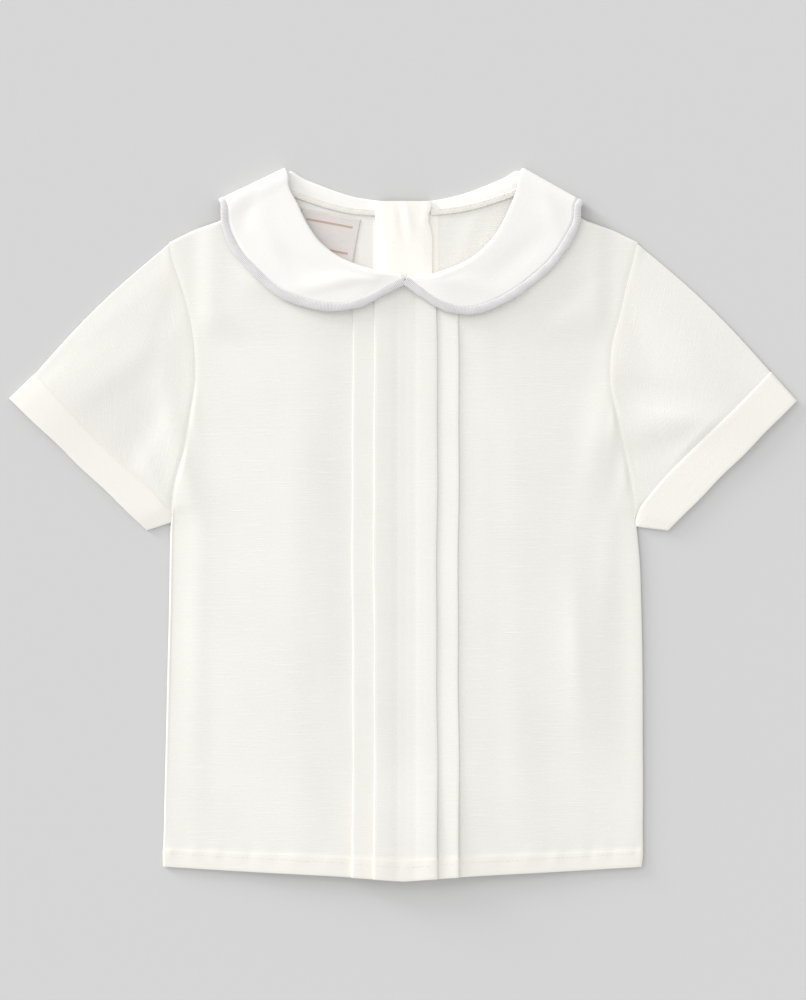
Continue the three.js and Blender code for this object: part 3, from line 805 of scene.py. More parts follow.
@dataclass(frozen=True)
class Linen:
    """Off-white plain-weave linen with fine slubs, creamier where it lies double."""

    name: str = "linen"
    colour: tuple[float, ...] = (0.862, 0.846, 0.798, 1)
    shade: tuple[float, ...] = (0.830, 0.815, 0.766, 1)
    pale: tuple[float, ...] = (0.885, 0.875, 0.840, 1)
    double: tuple[float, ...] = (0.870, 0.850, 0.786, 1)
    facing: tuple[float, ...] = (0.970, 0.945, 0.880, 1)
    yarn: float = 0.0006
    slubs: float = 1.0

    def slub(self, shader: Shader, length: float, width: float, turn: float, seed: float) -> Value:
        """Streaks of thick yarn, length by width in metres, along the cloth's first axis before the turn."""
        place = shader.place((1 / length, 1 / width), turn, seed)
        return shader.noise(place, detail=1.0).above(0.62, 0.76)

    def make(self) -> Material:
        """Weaves the cloth's colour, slubs and relief.

        Returns:
            The cloth's material.
        """
        shader = Shader(self.name)
        across, along = shader.axes()
        wobble = shader.noise(shader.place((260, 260)), detail=1.0) * 0.0005
        turns = math.pi / self.yarn
        weave = ((across + wobble) * turns).sine() * ((along + wobble) * turns).sine()
        weft = self.slub(shader, 0.011, 0.0006, 0.0, 3.0) + self.slub(shader, 0.022, 0.0008, 0.0, 9.0)
        warp = self.slub(shader, 0.013, 0.0006, 90.0, 5.0) + self.slub(shader, 0.024, 0.0009, 90.0, 2.0)
        cloud = shader.noise(shader.place((24, 24)), detail=3.0)
        fine = shader.noise(shader.place((900, 900)), detail=2.0)
        body = shader.mixed((cloud * 0.5 + fine * 0.5).above(0.35, 0.65), self.shade, self.colour)
        slubbed = shader.mixed((weft * 0.8 + warp) * (0.38 * self.slubs), body, self.pale)
        hemmed = shader.mixed(shader.attribute("double"), slubbed, self.double)
        colour = shader.mixed(shader.attribute("facing"), hemmed, self.facing)
        roughness = 0.93 - fine * 0.08
        shader.surface(Base_Color=colour, Roughness=roughness, Sheen_Weight=0.12, Sheen_Roughness=0.6)
        shader.bump(weave * 0.3 + fine * 0.4 + (weft + warp) * (0.35 * self.slubs), 0.00007)
        return shader.material


@dataclass(frozen=True)
class Overlock:
    """Lavender-grey thread laid close across an edge, with painted shade in the grooves between the threads.
    """

    name: str = "overlock_thread"
    colour: tuple[float, ...] = (0.835, 0.808, 0.820, 1)
    groove_shade: tuple[float, ...] = (0.450, 0.430, 0.450, 1)

    def make(self) -> Material:
        """Mixes the thread's colour over its crests with painted shade in its grooves.

        Returns:
            The edging's material.
        """
        shader = Shader(self.name)
        twist = shader.noise(shader.place((2600, 9000), 20), detail=2.0)
        tone = shader.noise(shader.place((140, 300)), detail=2.0)
        crest = shader.attribute("crest")
        # painted shade: the crest mask puts the dark groove colour between the threads, mixed with random
        # tone from the twist and tone noise
        shade = (crest * 0.8 + twist * 0.25 + tone * 0.3 - 0.15).above(0.05, 0.85)
        colour = shader.mixed(shade, self.groove_shade, self.colour)
        shader.surface(Base_Color=colour, Roughness=0.72 - twist * 0.15, Sheen_Weight=0.2)
        shader.bump(twist, 0.00006)
        return shader.material


@dataclass(frozen=True)
class SewingThread:
    """Twisted off-white sewing thread."""

    name: str = "sewing_thread"
    colour: tuple[float, ...] = (0.850, 0.835, 0.790, 1)
    shade: tuple[float, ...] = (0.690, 0.670, 0.610, 1)

    def make(self) -> Material:
        """Twists the thread's colour and relief.

        Returns:
            The thread's material.
        """
        shader = Shader(self.name)
        place = shader.node("ShaderNodeTexCoord").outputs["Object"]
        ply = shader.noise(place, 4200, detail=2.0)
        colour = shader.mixed(ply.above(0.35, 0.65), self.shade, self.colour)
        shader.surface(Base_Color=colour, Roughness=0.68 + ply * 0.1)
        shader.bump(ply, 0.00004)
        return shader.material


@dataclass(frozen=True)
class WovenLabel:
    """Pinkish-grey satin ribbon with a plain copper stripe near each end."""

    name: str = "woven_label"
    ground: tuple[float, ...] = (0.700, 0.650, 0.625, 1)
    light: tuple[float, ...] = (0.800, 0.752, 0.730, 1)
    stripe: tuple[float, ...] = (0.520, 0.350, 0.240, 1)
    stripe_at: float = 0.0072
    stripe_half: float = 0.0005

    def make(self) -> Material:
        """Weaves the ribbon's ribs, floats and stripes.

        Returns:
            The label's material.
        """
        shader = Shader(self.name)
        across, along = shader.axes()
        ribs = (along * (math.pi / 0.00033)).sine().magnitude()
        floats = shader.noise(shader.place((160, 2200)), detail=2.0)
        ground = shader.mixed((ribs * 0.5 + floats * 0.6).above(0.3, 0.9), self.ground, self.light)
        off_stripe = (along.magnitude() - self.stripe_at).magnitude()
        band = 1 - off_stripe.above(self.stripe_half, self.stripe_half + 0.0002)
        within = 1 - across.magnitude().above(0.0125, 0.0128)
        colour = shader.mixed(band * within * 0.85, ground, self.stripe)
        shader.surface(Base_Color=colour, Roughness=0.42 + ribs * 0.15, Sheen_Weight=0.25)
        shader.bump(ribs * 0.6 + floats * 0.5, 0.00005)
        return shader.material


@dataclass(frozen=True)
class Pearl:
    """Polished pearl-white button plastic with a faint cloud."""

    name: str = "pearl_button"
    colour: tuple[float, ...] = (0.800, 0.770, 0.700, 1)
    cloud: tuple[float, ...] = (0.860, 0.845, 0.810, 1)

    def make(self) -> Material:
        """Clouds the plastic's colour and polish.

        Returns:
            The buttons' material.
        """
        shader = Shader(self.name)
        place = shader.node("ShaderNodeTexCoord").outputs["Object"]
        swirl = shader.noise(place, 220, detail=4.0)
        colour = shader.mixed(swirl.above(0.35, 0.65), self.colour, self.cloud)
        shader.surface(Base_Color=colour, Roughness=0.22 + swirl * 0.1, Coat_Weight=0.4)
        shader.bump(swirl, 0.00002)
        return shader.material


@dataclass(frozen=True)
class PaleFloor:
    """Matt light-grey paper."""

    name: str = "pale_floor"
    colour: tuple[float, ...] = (0.640, 0.640, 0.640, 1)

    def make(self) -> Material:
        """Colours the paper.

        Returns:
            The floor's material.
        """
        shader = Shader(self.name)
        shader.surface(Base_Color=self.colour, Roughness=0.95)
        return shader.material


@dataclass
class Hem:
    """A folded edge: how far in it reaches, its fold's radius, and the rows of points it takes."""

    depth: float = HEM_DEPTH
    radius: float = 0.205
    turns: int = 6
    inner_rows: int = 4
    outer_rows: int = 7
    foot: float = 1.3
    foot_shares: tuple[float, ...] = (0.4, 0.75, 1.0)

    def rows(self) -> Array:
        """Distance from the edge and height off the cloth's middle, from the raw edge to the outside.

        Returns:
            The rows, as pairs of distance and height.
        """
        inner = np.linspace(self.depth, self.radius, self.inner_rows)
        angles = np.linspace(-math.pi / 2, math.pi / 2, self.turns + 1)[1:-1]
        outer = np.linspace(self.radius, self.depth, self.outer_rows)
        parts = [
            np.stack([inner, np.full(self.inner_rows, -self.radius)], 1),
            np.stack([self.radius * (1 - np.cos(angles)), self.radius * np.sin(angles)], 1),
            np.stack([outer, np.full(self.outer_rows, self.radius)], 1),
        ]
        if self.foot:
            share = np.array(self.foot_shares)
            parts.append(np.stack([self.depth + self.foot * share, self.radius * (1 - share**2)], 1))
        return np.concatenate(parts)


def raised(points: Callable[[Array], Array], distance: Array, off: Array) -> Array:
    """Rows of a sheet, each moved off the middle of its cloth.

    Args:
        points: gives the grid of the plain sheet for rows at distances from its edge.
        distance: the distance of each row.
        off: how far each row moves along the sheet's normal.

    Returns:
        The grid.
    """
    grid = points(distance)
    along = points(distance + PROBE) - grid
    normals = unit(np.cross(np.gradient(grid, axis=1), along))
    return grid + normals * off[:, None, None]


def flat_tube(
    lines: Array,
    upper_z: Array,
    lower_z: Array,
    reach: float,
    turns: int = 8,
) -> Array:
    """A flattened tube through plan lines that run from its top fold to its lower fold.

    Args:
        lines: plan points, one line for each ring.
        upper_z: heights of the upper layer, of the same shape.
        lower_z: heights of the lower layer, of the same shape.
        reach: how far the folds' centres lie inside the ends of the lines.
        turns: steps in each fold.

    Returns:
        A grid of rings. The last point of each ring is the first again.
    """
    first_way = unit(lines[:, 0] - lines[:, 1])
    last_way = unit(lines[:, -1] - lines[:, -2])
    inset = lines.copy()
    inset[:, 0] -= first_way * reach
    inset[:, -1] -= last_way * reach
    upper = np.concatenate([inset, upper_z[..., None]], axis=2)
    lower = np.concatenate([inset, lower_z[..., None]], axis=2)[:, ::-1]
    angles = np.linspace(0, math.pi, turns + 1)[1:-1]

    def fold(start: Array, end: Array, way: Array) -> Array:
        """Half a turn from one layer to the other.

        Args:
            start: where each ring leaves one layer.
            end: where it meets the other.
            way: the direction out of each ring's end.

        Returns:
            The fold's points.
        """
        radius = (start[:, 2] - end[:, 2]) / 2
        out = np.abs(radius)[:, None] * np.sin(angles)
        x = start[:, None, 0] + way[:, None, 0] * out
        y = start[:, None, 1] + way[:, None, 1] * out
        z = end[:, None, 2] + radius[:, None] * (1 + np.cos(angles))
        return np.stack([x, y, z], axis=2)

    far = fold(upper[:, -1], lower[:, 0], last_way)
    near = fold(lower[:, -1], upper[:, 0], first_way)
    return np.concatenate([upper, far, lower, near, upper[:, :1]], axis=1)


@dataclass
class Body:
    """What front and back share: the side panels, and the seams at their edges."""

    pattern: Pattern
    panel_columns: int = 44
    curl: float = 1.6
    shaded_curl: float = 7.0
    edge_steps: tuple[float, ...] = (4.4, 3.0, 2.0, 1.3, 0.9, 0.55, 0.25, 0.08, 0.0)
    panel_width: float = 107.0
    rows_above_hem: int = 132
    first_plain_row: float = HEM_DEPTH + 3.2
    armhole_from: Span = (UNDERARM_Y - 6, UNDERARM_Y + 4)
    shoulder_from: Span = (84.0, 92.0)

    def shares(self) -> Array:
        """Places of the columns across a side panel, closer together at its outer edge."""
        near_edge = 1 - np.array(self.edge_steps) / self.panel_width
        return np.concatenate([np.linspace(0, near_edge[0], self.panel_columns, endpoint=False), near_edge])

    def rows(self) -> Array:
        """Distances of the plain rows from the hem, closer together at the shoulder.

        Returns:
            The distances.
        """
        full = SHOULDER_TIP_Y - HEM_ROW
        near_top = full - np.array(self.edge_steps)
        plain = np.linspace(self.first_plain_row, near_top[0], self.rows_above_hem, endpoint=False)
        return np.concatenate([plain, near_top])

    def hemmed(self) -> tuple[Array, Array, int]:
        """All rows' distances from the hem and offsets off the cloth's middle, and how many lie double.

        Returns:
            The distances, the offsets and the count.
        """
        folded = Hem().rows()
        plain = self.rows()
        distance = np.concatenate([folded[:, 0], plain])
        off = np.concatenate([folded[:, 1], np.zeros(len(plain))])
        return distance, off, len(folded) - 2

    def panel(self, name: str, side: Side, row: Array, share: Array) -> tuple[Array, Array, Array, Array]:
        """Plan of a side panel.

        Args:
            name: front or back.
            side: the side.
            row: the rows of points.
            share: the columns, from 0 at the tucks to 1 at the outer edge.

        Returns:
            X, Y, the distance from the outer edge and the distance from the upper outline.
        """
        pattern = self.pattern
        start = abs(CENTRE_X + side.value * pattern.panel_start)
        reach = pattern.reach(side, row)[:, None]
        across = start + (reach - start) * share[None, :]
        top = pattern.top_y(name, side, across)
        y = pattern.row_y(row[:, None], across, top)
        return side.value * across, y, reach - across, top - y

    def edged(self, x: Array, y: Array, z: Array, inside: Array, below: Array) -> Array:
        """Turns a panel's height down to the side and shoulder seams, and sinks it at the armhole.

        Args:
            x: places across the garment.
            y: places up the garment.
            z: the panel's height.
            inside: distance from the side seam or the armhole.
            below: distance from the upper outline.

        Returns:
            The new height.
        """
        middle = self.pattern.layer(x, y, 0.5)
        at_armhole = eased(y, *self.armhole_from)
        curl = np.where(x > 0, self.shaded_curl, self.curl)
        side = np.sqrt(1 - (1 - ramp(inside / curl, 0, 1)) ** 2)
        z = z + (middle - z) * (1 - side) * (1 - at_armhole)
        sink = SEAM_SINK * np.exp(-((inside / SEAM_WIDTH) ** 2)) * at_armhole
        z = z + np.sign(middle - z) * sink
        on_shoulder = eased(np.abs(x), *self.shoulder_from)
        top = np.sqrt(1 - (1 - ramp(below, 0, self.curl)) ** 2)
        return z + (middle - z) * (1 - top) * on_shoulder


@dataclass
class Front(Body):
    """The front, cut in one, with two tucks each side of the centre."""

    ripple: float = 0.16
    ripple_reach: float = 4.5
    spacing: float = 1.7
    fold_steps: int = 8
    root_dip: float = 0.16
    root_width: float = 0.7
    inner_drop: float = 0.1
    long_waver: Span = (0.28, 31.0)
    short_waver: Span = (0.16, 11.5)
    left_phase: float = 1.7
    side_seam: Span = (9.5, 8.0)
    seam_shade: float = 0.2
    flat: Span = (0.346, 0.385)
    area: float = 0.1180
    details: tuple[Crease, ...] = (
        Crease(-118.5, 33, 102, 26, 4.0, 0.4, 0.3),
        Crease(-113, 62, 98, 22, 3.0, 0.3),
        Crease(115.5, 68, 82, 30, 2.4, 0.6, -0.3),
        Crease(121, 30, 78, 20, 3.5, 0.45),
        Crease(118, -70, 91, 62, 7.5, -0.45),
        Crease(110, -20, 88, 30, 5.0, 0.3),
        Crease(93, -66, 92, 34, 5.0, 0.45),
        Crease(-112, -60, 89, 45, 6.0, 0.3),
        Crease(-104, -120, 91, 40, 7.0, -0.25),
        Crease(64, -130, 96, 40, 10.0, 0.35),
        Crease(50, 70, 100, 50, 9.0, 0.3),
        Crease(-52, 40, 84, 60, 11.0, 0.3),
        Crease(-44, -120, 97, 45, 9.0, -0.25),
        Crease(88, 120, 40, 24, 5.0, -0.35),
        Crease(-96, 118, 130, 26, 5.0, -0.35),
    )

    def path(self) -> Array:
        """One side of the front over both tucks: c, the c that its height is read at, and the level.

        Returns:
            Rows of those three numbers.
        """
        parts = []

        def run(start: float, end: float, level: float) -> None:
            """A flat stretch of cloth.

            Args:
                start: where it starts, from the centre line.
                end: where it ends.
                level: the layer, counted in levels.
            """
            count = max(2, math.ceil(abs(end - start) / self.spacing) + 1)
            c = np.linspace(start, end, count)[:-1]
            parts.append(np.stack([c, c, np.full(len(c), level)], 1))

        def turn(c: float, level: float, bulge: float) -> None:
            """Half a turn down to the next level.

            Args:
                c: where it turns, from the centre line.
                level: the layer, counted in levels.
                bulge: 1 where it turns outwards, -1 where inwards.
            """
            angles = np.linspace(0, math.pi, self.fold_steps, endpoint=False)
            out = c + bulge * CLOSE / 2 * np.sin(angles)
            parts.append(np.stack([out, np.full(len(angles), c), level - 0.5 + 0.5 * np.cos(angles)], 1))

        level = 5
        start = 0.0
        for root, edge in self.pattern.tucks:
            run(start, edge - CLOSE_REACH, level)
            turn(edge - CLOSE_REACH, level, 1)
            run(edge - CLOSE_REACH, root + CLOSE_REACH, level - 1)
            turn(root + CLOSE_REACH, level - 1, -1)
            start = root + CLOSE_REACH
            level -= 2
        return np.concatenate(parts)

    def ripples(self, x: Array, y: Array) -> Array:
        """Small puckers along the hem's stitches, unevenly spaced.

        Args:
            x: places across the garment.
            y: places up the garment.

        Returns:
            The height at each place.
        """
        from_hem = y - self.pattern.hem_y(x)
        waves = np.sin(x * 0.42 + 2.1 * np.sin(x * 0.061)) + 0.6 * np.sin(x * 0.93 + 1.3 * np.sin(x * 0.11))
        return self.ripple * waves * np.exp(-(((from_hem - HEM_DEPTH) / self.ripple_reach) ** 2))

    def half(self, side: Side, row: Array, path: Array) -> Array:
        """One side's grid, from the centre out.

        Args:
            side: the side.
            row: the rows of points.
            path: the path over the tucks.

        Returns:
            The grid.
        """
        pattern = self.pattern
        c, at, level = path.T
        tuck = np.where(level > 3.5, eased(c, *pattern.tucks[0]), eased(c, *pattern.tucks[1]))
        phase = self.left_phase if side is Side.LEFT else 0.0
        (high, long), (low, short) = self.long_waver, self.short_waver
        waver = high * np.sin(row / long + phase) + low * np.sin(row / short + 2 * phase)
        x = CENTRE_X + side.value * (c + waver[:, None] * tuck)
        top_left, top_right = (pattern.top_y("front", side, np.abs(x)) for side in Side)
        top = np.where(x < CENTRE_X, top_left, top_right)
        y = pattern.row_y(row[:, None], x, top)
        drop = self.inner_drop * eased(level, 1, 2) * eased(row, HEM_ROW + 40, HEM_ROW)[:, None]
        at_root = np.exp(-(((c - pattern.tucks[0][0]) / self.root_width) ** 2)) * (level > 4.9)
        root = self.root_dip * at_root
        z = pattern.tucked(x, y, level, CENTRE_X + side.value * at) - root + self.ripples(x, y) * 0.5
        tucks = np.stack([x, y - drop, z], axis=2)
        x, y, inside, below = self.panel("front", side, row, self.shares())
        z = pattern.front_z(x, y) + self.detail(x, y, inside)
        panel = np.stack([x, y, self.edged(x, y, z, inside, below)], axis=2)
        return np.concatenate([tucks, panel], axis=1)

    def detail(self, x: Array, y: Array, inside: Array) -> Array:
        """Finer creases of the side panels, none at the tucks' roots.

        Args:
            x: places across the garment.
            y: places up the garment.
            inside: distance from the outer edge.

        Returns:
            The height at each place.
        """
        start = eased(np.abs(x - CENTRE_X), self.pattern.panel_start, self.pattern.panel_start + 12)
        at_edge = eased(inside, 0, 2.5)
        return (creases(self.details, x, y) * start + self.ripples(x, y)) * at_edge

    def grid(self, distance: Array) -> Array:
        """The whole front, for rows at distances from the hem.

        Args:
            distance: the rows' distances from the edge.

        Returns:
            The grid, from left to right.
        """
        row = HEM_ROW + distance
        path = self.path()
        left = self.half(Side.LEFT, row, path)[:, ::-1]
        return np.concatenate([left, self.half(Side.RIGHT, row, path)[:, 1:]], axis=1)

    def top_z(self, x: Array, y: Array) -> Array:
        """Height of the front's outer face, for what is sewn on it.

        Args:
            x: places across the garment.
            y: places up the garment.

        Returns:
            The height at each place.
        """
        c = np.abs(x - CENTRE_X)
        level = np.where(c < self.pattern.tucks[0][1], 5.0, 3.0)
        tucked = self.pattern.tucked(x, y, level, x) + self.ripples(x, y) * 0.5
        plain = self.pattern.front_z(x, y) + self.detail(x, y, np.full(np.shape(x), 9.0))
        return np.where(c < self.pattern.tucks[1][1], tucked, plain) + CLOTH / 2

    def build(self, linen: Material) -> Piece:
        """Makes the front with its hem.

        Args:
            linen: the cloth's material.

        Returns:
            The piece.
        """
        distance, off, doubled = self.hemmed()
        points = raised(self.grid, distance, off)
        across = chords(points[len(points) // 2])
        tuck_half = len(self.path())
        centre = points.shape[1] // 2
        across -= across[centre]
        flat = np.empty(points.shape[:2] + (2,))
        flat[..., 0] = across
        for sign, cut in ((-1, slice(0, centre - tuck_half)), (1, slice(centre + tuck_half, None))):
            inner = centre + sign * tuck_half
            flat[:, cut, 0] = across[inner] + points[:, cut, 0] - points[:, [inner], 0]
        flat[..., 1] = points[..., 1]
        double = np.zeros(points.shape[:2])
        double[:doubled] = 1.0
        inside = self.panel("front", Side.LEFT, HEM_ROW + distance, self.shares())[2]
        seam = self.seam_shade * eased(inside, *self.side_seam)
        double[:, : seam.shape[1]] = np.maximum(double[:, : seam.shape[1]], seam[:, ::-1])
        double[:, -seam.shape[1] :] = np.maximum(double[:, -seam.shape[1] :], seam)
        piece = Sheet("front_cloth", points, flat, masks={"double": double}).build()
        dress(piece, linen, "linen", "front")
        return piece


@dataclass
class Back(Body):
    """One half of the back, with its lap at the centre."""

    side: Side = Side.LEFT
    facing_edge: float = -16.2
    inner_edge: float = 14.4
    outer_edge: float = -10.0
    under_free_to: float = 11.4
    open_to: float = 11.1
    lap_start: float = -11.0
    kink_y: float = 164.5
    kink: float = 2.3
    kink_reach: float = 5.5
    edge_waver: float = 0.25
    over_bindings: Span = (0.5, 0.7)
    neck_ends_y: Span = (156.0, 163.0)
    lap_details: tuple[Crease, ...] = (
        Crease(-1.0, 164.5, 101, 9.5, 1.9, -0.8, 0.35),
        Crease(2.3, 166.5, 108, 7.0, 1.5, 0.5),
        Crease(-1.4, 165.0, 82, 15.0, 9.0, 0.75),
    )
    flats: dict = field(
        default_factory=lambda: {Side.LEFT: ((0.172, 0.385), 0.0635), Side.RIGHT: ((0.136, 0.385), 0.0492)}
    )
    details: tuple[Crease, ...] = (
        Crease(-60, 60, 80, 50, 9, 0.25),
        Crease(-90, -70, 95, 60, 7, 0.3),
        Crease(-40, -120, 88, 40, 8, 0.22),
        Crease(58, 20, 97, 55, 9, 0.28),
        Crease(92, -90, 86, 50, 7, 0.3),
        Crease(36, 158, 70, 12, 3.5, 0.3),
        Crease(48, 150, 55, 14, 4.0, 0.25),
        Crease(22, 160, 86, 16, 2.2, 0.2),
        Crease(-23, 156, 92, 14, 2.4, 0.2),
    )

    def laps(self) -> Array:
        """The lap from the panel's edge on: c, the c that its height is read at, and the level.

        Returns:
            Rows of those three numbers.
        """
        if self.side is Side.RIGHT:
            c = np.linspace(self.pattern.lap_foot, self.outer_edge, 20)
            return np.stack([c, c, np.zeros(len(c))], 1)
        turn_at = self.inner_edge - CLOSE_REACH
        rise = np.linspace(-self.pattern.lap_foot, self.lap_start, 5)[:-1]
        flat = np.linspace(self.lap_start, turn_at, 16)[:-1]
        angles = np.linspace(0, math.pi, 9)[:-1]
        back = np.linspace(turn_at, self.lap_start, 18)[:-1]
        down = np.linspace(self.lap_start, self.facing_edge, 5)
        up = eased(rise, -self.pattern.lap_foot, self.lap_start)
        turned = turn_at + CLOSE / 2 * np.sin(angles)
        lowered = 1 + eased(down, -self.pattern.lap_foot - 1, self.lap_start)
        return np.concatenate(
            [
                np.stack([rise, rise, up], 1),
                np.stack([flat, flat, np.ones(len(flat))], 1),
                np.stack([turned, np.full(8, turn_at), 1.5 - 0.5 * np.cos(angles)], 1),
                np.stack([back, back, np.full(len(back), 2.0)], 1),
                np.stack([down, down, lowered], 1),
            ]
        )

    def grid(self, distance: Array) -> Array:
        """The half with its lap, for rows at distances from the hem.

        Args:
            distance: the rows' distances from the edge.

        Returns:
            The grid, from left to right.
        """
        row = HEM_ROW + distance
        x, y, inside, below = self.panel("back", self.side, row, self.shares())
        raised_by = creases(self.details, x, y) * eased(inside, 0, 3)
        z = self.pattern.layer(x, y, 0) + raised_by
        panel = np.stack([x, y, self.edged(x, y, z, inside, below)], axis=2)[:, ::-1]
        c, at, level = self.laps().T
        shape = (len(row), len(c))
        x = np.broadcast_to(CENTRE_X + c, shape).copy()
        top_left, top_right = (self.pattern.top_y("back", side, np.abs(x)) for side in Side)
        top = np.where(x < CENTRE_X, top_left, top_right)
        free = level > 1 if self.side is Side.LEFT else c < self.under_free_to
        to_neck = free | (np.abs(c) < self.open_to)
        y = self.pattern.row_y(row[:, None], x, np.where(to_neck, NECK_Y, top))
        z = self.pattern.layer(CENTRE_X + at, y, level)
        if self.side is Side.LEFT:
            z += self.over_neck(c, level, y)
            near = np.exp(-(((y - self.kink_y) / self.kink_reach) ** 2))
            x -= self.kink * near * eased(c, 2, 12)
            x += self.edge_waver * np.sin(row / 17)[:, None] * eased(c, 4, 13)
            z += creases(self.lap_details, x, y) * (level > 1.4)
        laps = np.stack([x, y, z], axis=2)
        whole = np.concatenate([panel, laps], axis=1)
        return whole if self.side is Side.LEFT else whole[:, ::-1]

    def over_neck(self, c: Array, level: Array, y: Array) -> Array:
        """How far the upper lap rises over the ends of the collar and of the bindings.

        Args:
            c: places across, from the centre line.
            level: the layer, counted in levels.
            y: places up the garment.

        Returns:
            The height at each place.
        """
        over_left, over_right = self.over_bindings
        at_left = ((2 - level) * CLOSE + over_left) * (level > 1) * eased(c, -9, -12)
        at_right = over_right * eased(c, 9.0, 12.0)
        return (at_left + at_right) * eased(y, *self.neck_ends_y)

    def build(self, linen: Material) -> Piece:
        """Makes the half with its hem.

        Args:
            linen: the cloth's material.

        Returns:
            The piece.
        """
        distance, off, doubled = self.hemmed()
        points = raised(self.grid, distance, off)
        laps = len(self.laps())
        across = chords(points[len(points) // 2])
        flat = np.stack([np.broadcast_to(across, points.shape[:2]), points[..., 1]], axis=2).copy()
        panel = slice(0, -laps) if self.side is Side.LEFT else slice(laps, None)
        anchor = -laps if self.side is Side.LEFT else laps - 1
        flat[:, panel, 0] = across[anchor] + points[:, panel, 0] - points[:, [anchor], 0]
        double = np.zeros(points.shape[:2])
        double[:doubled] = 1.0
        facing = np.zeros(points.shape[:2])
        lap_columns = slice(-laps, None) if self.side is Side.LEFT else slice(0, laps)
        facing[:, lap_columns] = 1.0
        name = f"back_{self.side.word}_cloth"
        piece = Sheet(name, points, flat, masks={"double": double, "facing": facing}).build()
        dress(piece, linen, "linen", "back_inner" if self.side is Side.LEFT else "back_outer")
        return piece


@dataclass
class Sleeve:
    """A short set-in sleeve, from the armhole to the cuff."""

    pattern: Pattern
    side: Side
    around: int = 72
    rings: int = 44
    ring_power: float = 1.15
    crown: float = 2.6
    tuck_in: float = 1.3
    below_underarm: float = 4.5
    thinner: float = 0.6
    under_cuff: float = 1.8
    cuff_sink: float = 0.06
    cuff_sink_width: float = 1.2
    root_sink: float = 0.72
    fold_shares: Span = (0.10, 0.92)
    flat: Span = (0.300, 0.101)
    area: float = 0.0141
    details: dict = field(
        default_factory=lambda: {
            Side.LEFT: (
                Crease(-141, 47, 62, 24, 9.0, -0.8, 0.2),
                Crease(-127, 60, 95, 30, 6.0, 0.35),
                Crease(-151, 84, 38, 30, 8.0, 0.5),
                Crease(-128, 108, 70, 26, 6.0, -0.3),
                Crease(-134, 24, 118, 14, 4.0, 0.3),
                Crease(-176, 92, 35, 26, 6.0, -0.3),
            ),
            Side.RIGHT: (
                Crease(138, 58, 172, 22, 5.5, 0.5, 0.4),
                Crease(134, 72, 168, 20, 6.0, -0.5),
                Crease(133, 40, 20, 14, 8.0, -0.2),
                Crease(160, 45, 42, 16, 5.0, 0.6),
                Crease(152, 92, 140, 30, 8.0, 0.45),
                Crease(126, 105, 108, 26, 6.0, -0.3),
                Crease(180, 90, 148, 24, 6.0, -0.3),
            ),
        }
    )

    def armhole(self) -> Array:
        """The armhole seam in plan, from the shoulder tip to just under the cuff's end at the underarm.

        Returns:
            The seam's points.
        """
        y = np.linspace(SHOULDER_TIP_Y, UNDERARM_Y - self.below_underarm, 400)
        x = self.pattern.reach(self.side, y) * self.side.value
        return spaced(np.stack([x, y], 1), self.around)

    def lines(self, share: Array) -> Array:
        """Plan lines round the sleeve, at shares of the way from armhole to cuff.

        Args:
            share: the shares.

        Returns:
            One line for each share.
        """
        root = self.armhole()
        seam = spaced(np.array(CUFF_SEAM[self.side]), self.around)
        part = np.linspace(0, 1, self.around)
        way = np.array([self.side.value, 1]) / math.sqrt(2)
        lines = root[None] + (seam - root)[None] * share[:, None, None]
        crown = self.crown * np.sin(math.pi * np.clip(share, 0, 1))[:, None] * (1 - part[None]) ** 2
        return lines + crown[..., None] * way

    def grid(self) -> tuple[Array, Array]:
        """The sleeve's rings, and each point's distance from the armhole.

        Returns:
            The rings and the distances.
        """
        share = np.concatenate([[0.0], np.linspace(0, 1, self.rings) ** self.ring_power, [1.0]])
        lines = self.lines(share)
        inward = unit(lines[1] - lines[self.rings])
        lines[0] += inward * self.tuck_in
        lines[-1] -= inward * self.under_cuff
        out = np.linalg.norm(lines - lines[1][None], axis=2)
        left = np.linalg.norm(lines - lines[-2][None], axis=2)
        x, y = lines[..., 0], lines[..., 1]
        detail = creases(self.details[self.side], x, y)
        detail = detail * eased(out, 0.5, 4) * eased(left, 0.0, 4)
        part = np.linspace(0, 1, self.around)[None]
        detail *= eased(part, 0, 0.06) * eased(part, 1, 0.94)
        sink = SEAM_SINK * np.exp(-((out / SEAM_WIDTH) ** 2))
        sink = sink + self.cuff_sink * np.exp(-((left / self.cuff_sink_width) ** 2))
        at_folds = 1 - eased(part, 0, self.fold_shares[0]) * eased(part, 1, self.fold_shares[1])
        upper = self.pattern.front_z(x, y) + detail - sink - self.thinner * at_folds * eased(out, 0, 6)
        raised_only = tuple(c._replace(height=abs(c.height)) for c in self.details[self.side])
        lower = self.pattern.layer(x, y, 0) + sink + 0.25 * creases(raised_only, -x, y)
        upper[0] = self.pattern.front_z(*lines[1].T) - self.root_sink
        lower[0] = self.pattern.layer(*lines[1].T, 0) + self.root_sink
        upper[-1] = upper[-2] - 0.1
        lower[-1] = lower[-2] + 0.1
        return flat_tube(lines, upper, lower, FOLD_REACH), out

    def build(self, linen: Material) -> Piece:
        """Makes the sleeve.

        Args:
            linen: the cloth's material.

        Returns:
            The piece.
        """
        points, out = self.grid()
        round_it = chords(points[len(points) // 3])
        flat = np.empty(points.shape[:2] + (2,))
        flat[..., 0] = round_it[None] * np.linspace(1.05, 0.62, len(points))[:, None]
        flat[..., 1] = np.linalg.norm(points - points[1][None], axis=2)
        double = np.zeros(points.shape[:2])
        double[:, : self.around] = 0.3 * eased(out, 9.0, 7.5)
        name = f"sleeve_{self.side.word}_cloth"
        piece = Sheet(name, points, flat, ring=True, masks={"double": double}).build()
        dress(piece, linen, "linen", f"sleeve_{self.side.word}")
        return piece


